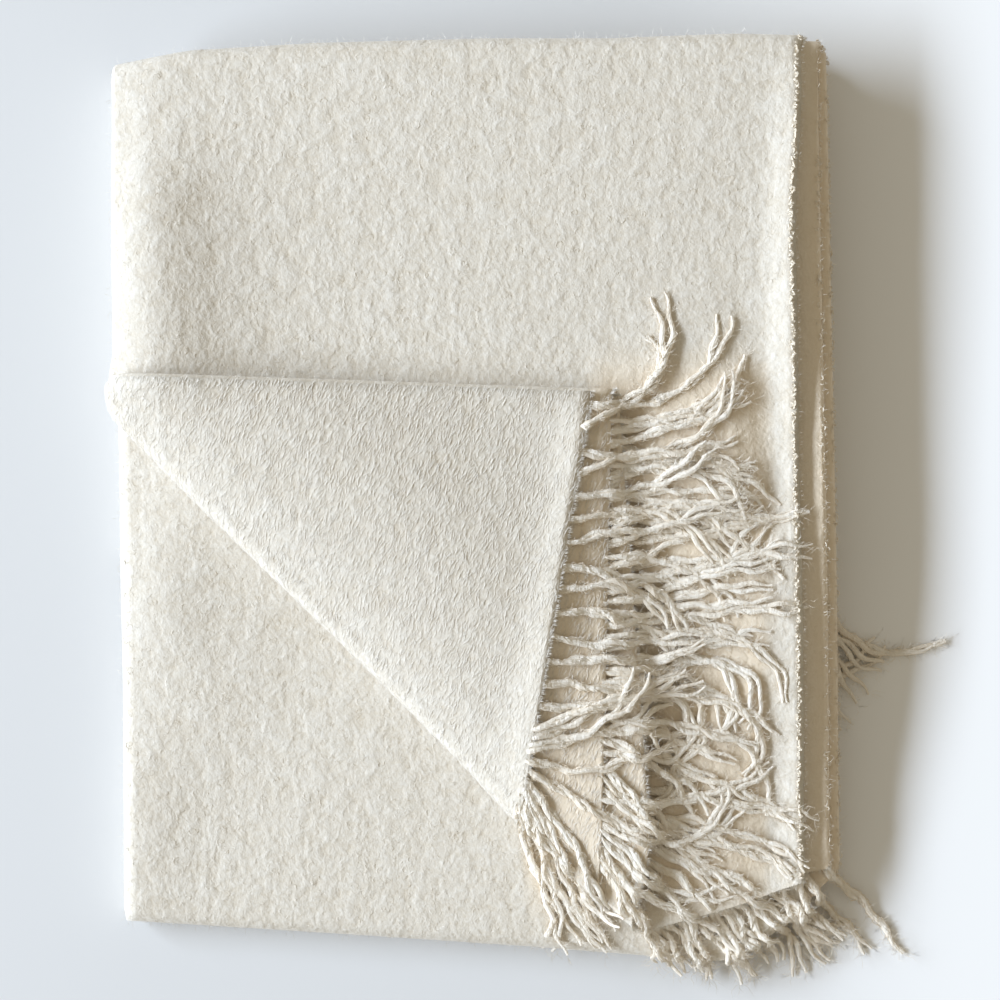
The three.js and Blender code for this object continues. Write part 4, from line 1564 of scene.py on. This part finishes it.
@dataclass
class Fringe:
    """The fringe: rows of twisted, hairy strands laid over one another.

    Attributes:
        folds: The fold sizes.
        yarn: The yarn, of which each strand has two.
        half_wide, half_high: Half sizes of the space that a strand takes.
        start, steps: First short step, which clears the weave's edge, and further steps of a strand's plan.
        waves, wave_step: Waves along a strand, and their shift from one strand to the next.
        droop: Steepest fall for each unit along.
        rest, clear: Air over what lies under a strand, and beside it.
        edge, root_in: How far the weave's edge and the roots lie past the cut layers' ends.
        samples, stops: Places looked up in each step, and points along a strand's middle.
        part_*: Share of its length where a strand's two yarns part, how far, and how that strays.
        ply_*: Angle that the two yarns wind by, and how far apart they lie.
        matted: Share of its height over the cloth that a strand keeps where others lie under it.
        sink, low: How far a strand sinks into the pile under it, and the lowest height of the near yarns.
        soft_from, soft_room: Height from which a pile of strands is pressed, and the room it keeps over that.
        far_*: Roots of the far end, how many are hidden, their height, and how much higher loose ones lie.
        hidden_*: Fibres and hairs of a hidden strand's yarn.
        laid: Places of the strands that are laid so far.
    """

    folds: Folds
    yarn: Yarn = Yarn()
    half_wide: float = 2.1
    half_high: float = 1.6
    start: float = 3.5
    steps: int = 8
    waves: float = 1.6
    wave_step: float = 0.37
    droop: float = 0.75
    rest: float = 0.3
    clear: float = 2.4
    edge: float = 5.4
    root_in: float = 2.9
    samples: int = 5
    stops: int = 36
    part_from: float = 0.45
    part_spread: float = 4.0
    part_stray: Span = (0.6, 0.5)
    ply_turn: float = 9.0
    ply_wide: float = 0.62
    ply_high: float = 0.45
    matted: float = 0.3
    sink: float = 0.6
    soft_from: float = 58.0
    soft_room: float = 10.0
    low: float = 0.2
    far_left: float = -214.0
    far_right: float = 184.0
    far_pitch: float = 17.0
    far_plain_count: int = 12
    far_height: float = 2.1
    far_over: float = 1.8
    hidden_fibres: int = 1
    hidden_hairs: int = 6
    laid: Array = field(default_factory=lambda: np.zeros((0, 3)))

    def rows(self) -> tuple[FringeRow, ...]:
        """The near end's rows, from the lowest to the highest: each lies over the ones before it."""
        return (
            FringeRow("fringe_flat_low", 2, False, 160, 196, FLAT_LOW_ROW),
            FringeRow("fringe_flat_top", 0, False, 92, 182, FLAT_TOP_ROW, between=1),
            FringeRow("fringe_flap_low", 0, True, -220, 30, BOTTOM_ROW, between=1, extra=BOTTOM_LOOSE),
            FringeRow("fringe_flap_middle", 1, True, -226, 24, MIDDLE_ROW, between=2, extra=MIDDLE_LOOSE),
            FringeRow("fringe_flap_top", 2, True, -228, -6, TOP_ROW, 2, from_gap=14, extra=TOP_LOOSE),
        )

    def top_at(self, x: Array, y: Array, row: FringeRow) -> Array:
        """Height of the highest cloth under places and under a row's layer, or of the surface beside it.

        Args:
            x: Places across.
            y: Places along.
            row: The row whose strands are laid.

        Returns:
            Heights.
        """
        folds = self.folds
        past = folds.past_corner(x, y)
        leg_x = (x + folds.lean * y) / (1.0 + folds.leg_reach[1] / folds.right_fold)
        on_legs = (leg_x > folds.left_fold) & (leg_x < folds.right_fold)
        on_legs &= y > np.interp(leg_x, folds.near_places, folds.near_edges)
        height = np.where(on_legs, folds.leg_middle(1) + folds.strip / 2.0, 0.0)
        back_x, back_y = folds.mirrored(x, y)
        margin = self.edge + self.half_wide
        for index, ply in enumerate(folds.plies):
            if row.turned or index > row.ply:
                level = folds.leg_middle(0) + ply.level + folds.sheet / 2.0
                level = level + (folds.lift(x, y) if index == 0 else 0.0)
                here = (past < 0.0) & folds.on_ply(index, x, y, margin)
                height = np.where(here, np.maximum(height, level), height)
            if index < row.ply:
                level = folds.leg_middle(0) + 2.0 * folds.bend - ply.level + folds.sheet / 2.0
                level = level + folds.puff(-past)
                here = (past < folds.bend) & folds.on_ply(index, back_x, back_y, margin)
                height = np.where(here, np.maximum(height, level), height)
        return folds.sunk(y, height)

    def root(self, ply: int, x: float) -> Array:
        """Where a strand leaves a layer's edge, after the corner is turned back and the stack has sagged.

        Args:
            ply: Number of the layer.
            x: Place across the flat layer.

        Returns:
            The root's place.
        """
        folds = self.folds
        place = np.array([x])
        y = folds.layer_end(ply, place) - self.root_in
        across = folds.across(place, y, 0)
        lift = folds.lift(across, y) * float(ply == 0)
        point = np.stack([across, y, folds.leg_middle(0) + folds.plies[ply].level + lift], axis=1)
        point = folds.turn_back(point)
        point[:, 2] = folds.sunk(point[:, 1], point[:, 2])
        return point[0]

    def plan(self, root: Array, strand: Strand, number: int) -> Array:
        """A strand's way seen from above: a heading that turns and swings as it goes.

        Args:
            root: First point.
            strand: The strand.
            number: Its number, which shifts its waves.

        Returns:
            (steps + 2, 3) points at the root's height.
        """
        share = np.arange(self.steps + 1) / self.steps
        step = np.full(self.steps + 1, (strand.length - self.start) / self.steps)
        step[0] = self.start
        swing = strand.swing * np.sin(TURN * (self.waves * share + self.wave_step * number))
        heading = np.radians(strand.heading + strand.turn * share**2 + swing)
        moves = np.stack([step * np.cos(heading), step * np.sin(heading), 0.0 * step], axis=1)
        return root + np.concatenate([np.zeros((1, 3)), np.cumsum(moves, axis=0)])

    def along(self, points: Array) -> Array:
        """Places along a strand's steps: (steps, samples, 3)."""
        share = ((np.arange(self.samples) + 0.5) / self.samples)[None, :, None]
        return points[:-1, None] + (points[1:] - points[:-1])[:, None] * share

    def note(self, points: Array) -> None:
        """Keep a strand's places, so that later strands lie over it."""
        self.laid = np.concatenate([self.laid, self.along(points).reshape(-1, 3)])

    def lay(self, points: Array, length: float, row: FringeRow, loose: bool) -> Array:
        """Lay a strand on the cloth and over the strands before it.

        Each point is at the least height that clears what lies under it and under its neighbours, less the
        droop on the way to them. The strand is then matted down towards the cloth.

        Args:
            points: The strand's plan.
            length: Its length.
            row: Its row.
            loose: Whether it sinks in among the other strands, which don't lift it and aren't lifted by it.

        Returns:
            The plan at its heights.
        """
        over = self.half_high + self.rest
        bare = self.top_at(points[:, 0], points[:, 1], row) + over
        least = bare.copy()
        sampled = self.along(points)[1:]
        clear = self.top_at(sampled[..., 0], sampled[..., 1], row) + over
        if len(self.laid) and not loose:
            gap = np.linalg.norm(sampled[:, :, None, :2] - self.laid[None, None, :, :2], axis=-1)
            under = np.where(gap < 2.0 * self.half_wide + self.clear, self.laid[:, 2], -np.inf)
            clear = np.maximum(clear, under.max(axis=-1) + 2.0 * self.half_high + self.rest)
        highest = clear.max(axis=1)
        least[1:-1] = np.maximum(least[1:-1], highest)
        least[2:] = np.maximum(least[2:], highest)
        least[0] = points[0, 2]
        steps = np.arange(len(points))
        drop = self.droop * length / self.steps * np.abs(steps[:, None] - steps[None, :])
        laid = points.copy()
        laid[1:, 2] = (least[None, :] - drop).max(axis=1)[1:]
        if not loose:
            self.note(laid)
        laid[2:, 2] = bare[2:] - self.sink + self.matted * (laid[2:, 2] - bare[2:])
        return laid

    def smooth(self, points: Array) -> Array:
        """Points at even steps along a soft curve through a strand's plan.

        Args:
            points: The plan's points.

        Returns:
            (stops, 3) points of the cubic curve whose slope at a point is half its neighbours' difference.
        """
        ends = np.concatenate([points[:1] * 2 - points[1:2], points, points[-1:] * 2 - points[-2:-1]])
        far = distance_along(points)
        at = np.interp(np.linspace(0.0, far[-1], self.stops), far, np.arange(len(points)))
        k = np.minimum(at.astype(int), len(points) - 2)
        t = (at - k)[:, None]
        a, b, c, d = (ends[k + step] for step in range(4))
        return 0.5 * (2 * b + (c - a) * t + (2 * a - 5 * b + 4 * c - d) * t**2 + (3 * (b - c) + d - a) * t**3)

    def eased(self, line: Array) -> Array:
        """Move a strand's line with the wool under it, and press it where strands pile up high.

        Args:
            line: (stops, 3) middle of the strand.

        Returns:
            The line, filled out and creased like the cloth, its height easing towards a limit.
        """
        eased = self.folds.fuller(line)
        eased[:, 2] += self.folds.creased(line)
        high = np.maximum(eased[:, 2] - self.soft_from, 0.0)
        eased[:, 2] -= high - self.soft_room * (1.0 - np.exp(-high / self.soft_room))
        return eased

    def line(self, row: FringeRow, rooted: Rooted, number: int, loose: bool) -> Array:
        """Middle line of a strand of the near end.

        Args:
            row: Its row.
            rooted: Place of its root across the layer, and the strand.
            number: Its number, which shifts its waves.
            loose: Whether it is one of the looser strands.

        Returns:
            (stops, 3) points.
        """
        x, strand = rooted
        plan = self.plan(self.root(row.ply, x), strand, number)
        return self.eased(self.smooth(self.lay(plan, strand.length, row, loose)))

    def parted(self, line: Array, random: Random) -> list[Array]:
        """Middles of a strand's two yarns: side by side and crossing at the root, then straying apart.

        Args:
            line: (stops, 3) middle of the strand.
            random: Source of the draws.

        Returns:
            Two lines, each the middle moved sideways by a twist that fades and a spread that grows.
        """
        side = perpendicular(unit(np.gradient(line, axis=0)))
        share = np.linspace(0.0, 1.0, len(line))
        grow = smooth_step(self.part_from, 1.0, share)
        angle = random.uniform(0.0, TURN) + self.ply_turn * share
        lines = []
        for sign in (-1.0, 1.0):
            close = sign * self.ply_wide * self.yarn.half * np.cos(angle) * (1.0 - grow)
            above = sign * self.ply_high * self.yarn.half * np.sin(angle) * (1.0 - grow)
            stray = sign * abs(random.normal(*self.part_stray)) + random.normal(0.0, self.part_stray[1])
            moved = line + side * (close + stray * self.part_spread * grow)[:, None]
            moved[:, 2] += above
            lines.append(moved)
        return lines

    def yarns(self, yarn: Yarn, lines: list[Array], low: float, random: Random) -> list[Part]:
        """The yarns of some strands, two for each.

        Args:
            yarn: The kind of yarn.
            lines: Middle lines of the strands.
            low: Lowest height.
            random: Source of the draws.

        Returns:
            Parts for join_parts.
        """
        parts: list[Part] = []
        for line in lines:
            for middle in self.parted(line, random):
                parts += yarn.parts(middle, low, random)
        return parts

    def build(self, material: Material) -> list[Piece]:
        """Lay and make every row.

        Args:
            material: Finish of the yarn.

        Returns:
            One piece for each row, each of which replaces its solid.
        """
        pieces = [self.build_far(material)]
        for seed, row in enumerate(self.rows()):
            loose = row.looser(np.random.default_rng(LOOSE_SEED + seed))
            lines = [self.line(row, one, number + 3 * row.ply, True) for number, one in enumerate(loose)]
            lines += [self.line(row, one, number + row.ply, False) for number, one in enumerate(row.firm())]
            parts = self.yarns(self.yarn, lines, self.low, np.random.default_rng(YARN_SEED + seed))
            piece = join_parts(row.node.replace("fringe", "strands"), parts, material)
            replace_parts(piece, row.node)
            pieces.append(piece)
        return pieces

    def build_far(self, material: Material) -> Piece:
        """The far end's strands, level on the surface under the stack and fanned out at the right.

        Args:
            material: Finish of the yarn.

        Returns:
            The piece, which replaces the solid of the far end's fringe.
        """
        folds = self.folds
        y = folds.far_end - self.root_in
        roots = [self.far_right - self.far_pitch * number for number in range(len(FAR_ROW))]
        plain = np.linspace(self.far_left, roots[-1] - self.far_pitch, self.far_plain_count)
        seen = [*zip(roots, FAR_ROW), *FAR_LOOSE]
        hidden = [(x, FAR_PLAIN) for x in plain]
        lines = []
        for number, (x, strand) in enumerate([*seen, *hidden]):
            over = self.far_over if len(FAR_ROW) <= number < len(seen) else 0.0
            plan = self.plan(np.array([x - folds.lean * y, y, self.far_height + over]), strand, number)
            self.note(plan)
            lines.append(self.smooth(plan))
        random = np.random.default_rng(FAR_SEED)
        plain_yarn = replace(self.yarn, fibres=self.hidden_fibres, hairs=self.hidden_hairs)
        parts = self.yarns(self.yarn, lines[:len(seen)], LOWEST, random)
        parts += self.yarns(plain_yarn, lines[len(seen):], LOWEST, random)
        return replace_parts(join_parts("strands_far_end", parts, material), "fringe_far_end")


@dataclass(frozen=True)
class EdgeFibres:
    """Short fibres that stick out of an edge of the weave.

    Attributes:
        length, half: Least and greatest length and half thickness.
        least_step: Least distance to the cloth beside the edge that gives a direction.
        stray, rise: How far a fibre strays from the edge's direction, and how much it leans up.
        bow_at: Share of its length where it is thickest.
        tones: Least and greatest tone.
    """

    length: Span = (1.0, 3.5)
    half: Span = (0.06, 0.14)
    least_step: float = 0.5
    stray: float = 0.45
    rise: float = 0.35
    bow_at: float = 0.4
    tones: Span = (-0.1, 0.2)

    def arrays(self, edge: Array, inside: Array, count: int, random: Random) -> Part:
        """Points, faces and tones of fibres along an edge, each away from the cloth inside it.

        Args:
            edge: (N, 3) points along the edge.
            inside: (N, 3) points of the cloth beside them.
            count: How many fibres there are.
            random: Source of the draws.

        Returns:
            Points, faces and tones.
        """
        at = random.uniform(0.0, len(edge) - 1.001, count)
        k = at.astype(int)
        share = (at - k)[:, None]
        roots = edge[k] * (1.0 - share) + edge[k + 1] * share
        back = inside[k] * (1.0 - share) + inside[k + 1] * share
        close = np.linalg.norm(roots - back, axis=1, keepdims=True) < self.least_step
        out = np.where(close, np.array([0.0, -1.0, 0.0]), unit(roots - back))
        stray = random.normal(0.0, self.stray, (count, 3))
        aim = unit(out + stray + np.array([0.0, 0.0, self.rise]))
        size = random.uniform(*self.length, (count, 1))
        half = random.uniform(*self.half, (count, 1))
        points, faces = spindles(roots - out, roots + aim * size * self.bow_at, roots + aim * size, half)
        return points, faces, np.repeat(random.uniform(*self.tones, count), SPINDLE_POINTS)


@dataclass(frozen=True)
class Pile:
    """Curls, nap, selvedge loops and loose hairs over the parts of the cloth that show.

    Attributes:
        sheet: The cloth that carries them.
        curls, nubs, loops: Curls of the cloth, fatter ones of the right side, and loops of the selvedge.
        nap, fuzz, fibres: Brushed fibres, loose hairs, and short fibres of the edges.
        top_curls, exposed_curls, fold_curls, edge_curls: How many curls each zone has.
        thin_across, thin_along, thin: Where the top's curls thin out, and by what share.
        nap_fibres, edge_hairs, selvedge_hairs: How many fibres the corner, the fringed edges and the
            selvedge have.
        edge_row: Row of the sheet that lies inside the fringed edges.
        hairs, hair_shares: How many loose hairs there are, and each zone's share.
        loop_*: Step between the selvedge's loops, how far they lie from its edge and over its middle, and
            the slopes that they stand on.
    """

    sheet: ClothSheet
    curls: Curls = Curls()
    nubs: Curls = Curls(radius=(0.7, 1.4), yarn=(0.25, 0.5), tilt=(20.0, 80.0), sweep=(160.0, 300.0))
    loops: Curls = Curls(radius=(0.9, 1.5), yarn=(0.7, 1.0), tilt=(10.0, 70.0), sweep=(200.0, 320.0), sides=4)
    nap: Nap = Nap()
    fuzz: Fuzz = Fuzz()
    fibres: EdgeFibres = EdgeFibres()
    top_curls: int = 1000
    exposed_curls: int = 1100
    fold_curls: int = 900
    edge_curls: int = 1500
    thin_across: Span = (60.0, 130.0)
    thin_along: Span = (150.0, 20.0)
    thin: float = 0.75
    nap_fibres: int = 17000
    edge_hairs: int = 6000
    selvedge_hairs: int = 2600
    edge_row: int = 4
    hairs: int = 9000
    hair_shares: tuple[tuple[Zone, float], ...] = (
        (Zone.TOP, 0.2), (Zone.EXPOSED, 0.1), (Zone.FOLD, 0.4), (Zone.EDGE, 0.3),
    )
    loop_step: float = 2.1
    loop_across: Span = (-4.4, -2.8)
    loop_rise: float = 1.3
    loop_slope: Span = (-0.6, 1.6)

    def density(self, cells: Cells) -> Array:
        """Share of curls on each cell: thinner towards the right side of the top, where the weave wears bare.

        Args:
            cells: The cells.

        Returns:
            One less the product of two soft steps, across and along.
        """
        centre = cells.corners.mean(axis=1)
        right = smooth_step(*self.thin_across, centre[:, 0])
        near = smooth_step(*self.thin_along, centre[:, 1])
        return 1.0 - self.thin * right * near

    def selvedge(self) -> Array:
        """Middle of the right selvedge along every leg, past the corner turned back."""
        line = (self.sheet.grid[:, 0] + self.sheet.grid[:, -1]) / 2.0
        return line[self.sheet.flap_rows + self.sheet.bend_rows:]

    def selvedge_loops(self, random: Random) -> Part:
        """Nubby loops of the weft along the right selvedge of every leg.

        Args:
            random: Source of the draws.

        Returns:
            Points, faces and tones of loops at uneven steps along the selvedge.
        """
        line = self.selvedge()
        far = distance_along(line)
        at = np.arange(0.0, far[-1], self.loop_step)
        count = len(at)
        at = at + random.uniform(-0.5, 0.5, count) * self.loop_step
        places = between(at, far, line)
        places[:, 0] += random.uniform(*self.loop_across, count)
        places[:, 2] += self.loop_rise
        slopes = [np.ones(count), np.zeros(count), random.uniform(*self.loop_slope, count)]
        return self.loops.arrays(places, unit(np.stack(slopes, axis=1)), random)

    def build(self, curl: Material, nap: Material, side: Material) -> list[Piece]:
        """Make the pile's pieces.

        Args:
            curl: Finish of the curls and hairs.
            nap: Finish of the brushed fibres.
            side: Finish of the nubs and loops of the right side, with painted shade.

        Returns:
            The pieces.
        """
        random = np.random.default_rng(PILE_SEED)
        zones = {zone: self.sheet.cells(zone) for zone in Zone}
        weights = self.density(zones[Zone.TOP])
        half = self.top_curls // 2
        kinds = (
            ("curls_top_upper", Zone.TOP, self.curls, curl, half, weights),
            ("curls_top_lower", Zone.TOP, self.curls, curl, self.top_curls - half, weights),
            ("curls_exposed", Zone.EXPOSED, self.curls, curl, self.exposed_curls, 1.0),
            ("curls_fold", Zone.FOLD, self.curls, curl, self.fold_curls, 1.0),
            ("curls_edge", Zone.EDGE, self.nubs, side, self.edge_curls, 1.0),
        )
        pieces = []
        for name, zone, curls, finish, count, density in kinds:
            part = curls.arrays(*zones[zone].scatter(count, random, density), random)
            pieces.append(join_parts(name, [part], finish))
        pieces.append(join_parts("selvedge_loops", [self.selvedge_loops(random)], side))
        brushed = self.nap.arrays(*zones[Zone.FLAP].scatter(self.nap_fibres, random), random)
        grid = self.sheet.grid
        ends = self.fibres.arrays(grid[0], grid[self.edge_row], self.edge_hairs, random)
        pieces.append(join_parts("nap_flap", [brushed, ends], nap))
        hairs = []
        for zone, share in self.hair_shares:
            hairs.append(self.fuzz.arrays(*zones[zone].scatter(int(self.hairs * share), random), random))
        line = self.selvedge()
        inside = line - np.array([2.0, 0.0, 0.0])
        hairs.append(self.fibres.arrays(line, inside, self.selvedge_hairs, random))
        pieces.append(join_parts("loose_hairs", hairs, curl))
        return pieces


@dataclass(frozen=True)
class Studio:
    """A pale floor, one large soft light from the left, and a camera that looks straight down.

    Sizes here are in metres, apart from the floor's drop.

    Attributes:
        camera_height, camera_end: Height of the camera over the surface, and how far it sees.
        frame_width, stack_height: Width that the picture shows at the top of the stack, and that height.
        floor_*: Half size of the floor, its drop under the throw in millimetres, its painted shade and own
            colour,
        where one goes over into the other, its roughness and its weak mirror light.
        window_*: Distance, elevation and bearing of the light, its size, power and colour.
        fill_colour: Colour of the sky all round.
    """

    camera_height: float = 1.446
    camera_end: float = 20.0
    frame_width: float = 0.628
    stack_height: float = 0.046
    floor_half: float = 4.0
    floor_drop: float = 0.3
    # Painted shade: darker floor on the left and under the throw, easing into the floor's own colour on the
    # right.
    floor_painted_shade: Colour = (0.675, 0.668, 0.652)
    floor_right: Colour = (0.935, 0.925, 0.905)
    floor_ramp: Span = (0.06, 0.33)
    floor_roughness: float = 0.6
    floor_gloss: float = 0.2
    window_distance: float = 8.0
    window_elevation: float = 26.5
    window_bearing: float = 177.0
    window_size: Span = (9.0, 1.5)
    window_power: float = 1410.0
    window_colour: Colour = (0.765, 0.885, 1.065)
    fill_colour: Colour = (0.385, 0.355, 0.29)

    def build(self) -> None:
        """Make the floor, the lights and the camera."""
        self.build_floor()
        self.build_light()
        self.build_camera()

    def floor_finish(self) -> Material:
        """Finish of the floor: painted shade on the left and under the throw, stepping softly across the
        floor into its own paler colour on the right.

        Returns:
            The material.
        """
        material = bpy.data.materials.new("pale_floor")
        material.use_nodes = True
        nodes, links = material.node_tree.nodes, material.node_tree.links
        shader = nodes["Principled BSDF"]
        set_inputs(shader, {"Roughness": self.floor_roughness, "Specular IOR Level": self.floor_gloss})
        coordinates = nodes.new("ShaderNodeTexCoord")
        split = nodes.new("ShaderNodeSeparateXYZ")
        spread = nodes.new("ShaderNodeMapRange")
        spread.interpolation_type = "SMOOTHSTEP"
        set_inputs(spread, {"From Min": self.floor_ramp[0], "From Max": self.floor_ramp[1]})
        mix = nodes.new("ShaderNodeMix")
        mix.data_type = "RGBA"
        set_inputs(mix, {"A": (*self.floor_painted_shade, 1.0), "B": (*self.floor_right, 1.0)})
        links.new(coordinates.outputs["Object"], split.inputs["Vector"])
        links.new(split.outputs["X"], spread.inputs["Value"])
        links.new(spread.outputs["Result"], mix.inputs["Factor"])
        links.new(mix.outputs["Result"], shader.inputs["Base Color"])
        return material

    def build_floor(self) -> None:
        """A wide flat floor just under the throw."""
        half = self.floor_half / MM
        sides = np.array([[-1.0, -1.0], [1.0, -1.0], [1.0, 1.0], [-1.0, 1.0]])
        points = np.column_stack([half * sides, np.full(len(sides), -self.floor_drop)])
        floor = new_piece("floor", points, [np.array([[0, 1, 2, 3]])], self.floor_finish())

    def build_light(self) -> None:
        """A large soft window-like light from the left, and a pale sky all round."""
        data = bpy.data.lights.new("window", "AREA")
        data.shape = "RECTANGLE"
        data.size, data.size_y = self.window_size
        data.energy = self.window_power
        data.color = self.window_colour
        lamp = bpy.data.objects.new("window", data)
        up, bearing = np.radians(self.window_elevation), np.radians(self.window_bearing)
        level = self.window_distance * np.cos(up)
        height = self.window_distance * np.sin(up)
        lamp.location = (level * np.cos(bearing), level * np.sin(bearing), height)
        lamp.rotation_euler = (np.pi / 2.0 - up, 0.0, bearing + np.pi / 2.0)
        bpy.context.scene.collection.objects.link(lamp)
        world = bpy.data.worlds.new("studio")
        bpy.context.scene.world = world
        world.use_nodes = True
        sky = world.node_tree.nodes["Background"]
        set_inputs(sky, {"Color": (*self.fill_colour, 1.0), "Strength": 1.0})

    def build_camera(self) -> None:
        """A camera straight over the origin, with +Y up in its picture."""
        data = bpy.data.cameras.new("camera")
        distance = self.camera_height - self.stack_height
        data.lens = data.sensor_width * distance / self.frame_width
        data.clip_end = self.camera_end
        camera = bpy.data.objects.new("camera", data)
        camera.location = (0.0, 0.0, self.camera_height)
        bpy.context.scene.collection.objects.link(camera)
        bpy.context.scene.camera = camera


WEAVE = WoolFinish(
    "felted_weave", (0.77, 0.725, 0.645), (0.61, 0.53, 0.41),
    Relief(11.0, 1.4, 0.8), Relief(3.4, 0.4, 0.8), Relief(1.2, 0.22, 1.0), stretch=1.1,
)
CURLED = WoolFinish("curled_wool", (0.82, 0.775, 0.695), (0.72, 0.66, 0.565))
# Painted shade: a warmer, darker copy of the curled wool for the nubs and loops of the shaded right side.
SHADED_SIDE = WoolFinish("shaded_selvedge_wool", (0.77, 0.695, 0.575), (0.71, 0.615, 0.475))
BRUSHED = WoolFinish("brushed_wool", (0.82, 0.78, 0.705), (0.73, 0.675, 0.585), lean=66.0, stretch=3.0)
# Its deep colour is also the painted shade of the yarns' undersides.
FRINGED = WoolFinish(
    "fringe_wool", (0.86, 0.815, 0.735), (0.82, 0.69, 0.51),
    Relief(6.0, 0.0, 0.4), Relief(2.2, 0.8, 0.4), Relief(0.8, 0.45, 0.5),
)


def corners(box: tuple) -> list[list[float]]:
    """Lowest and highest corner of a box as plain lists of numbers."""
    return [[float(value) for value in corner] for corner in box]


def main() -> None:
    """Load the frame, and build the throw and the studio."""
    logging.basicConfig(level=logging.INFO, format="%(name)s: %(message)s")
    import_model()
    bpy.context.scene.view_settings.view_transform = "Standard"
    Studio().build()
    weave, curl, side, nap, yarn = (
        finish.material() for finish in (WEAVE, CURLED, SHADED_SIDE, BRUSHED, FRINGED)
    )
    sheet = ClothSheet(Folds())
    cloth = sheet.build(weave)
    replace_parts(cloth, "cloth")
    pile = Pile(sheet).build(curl, nap, side)
    fringe = Fringe(sheet.folds).build(yarn)
    for piece in [cloth, *pile, *fringe]:
        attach(piece, BODY)
        LOG.info("%s: %d faces", piece.name, len(piece.data.polygons))


if __name__ == "__main__":
    main()
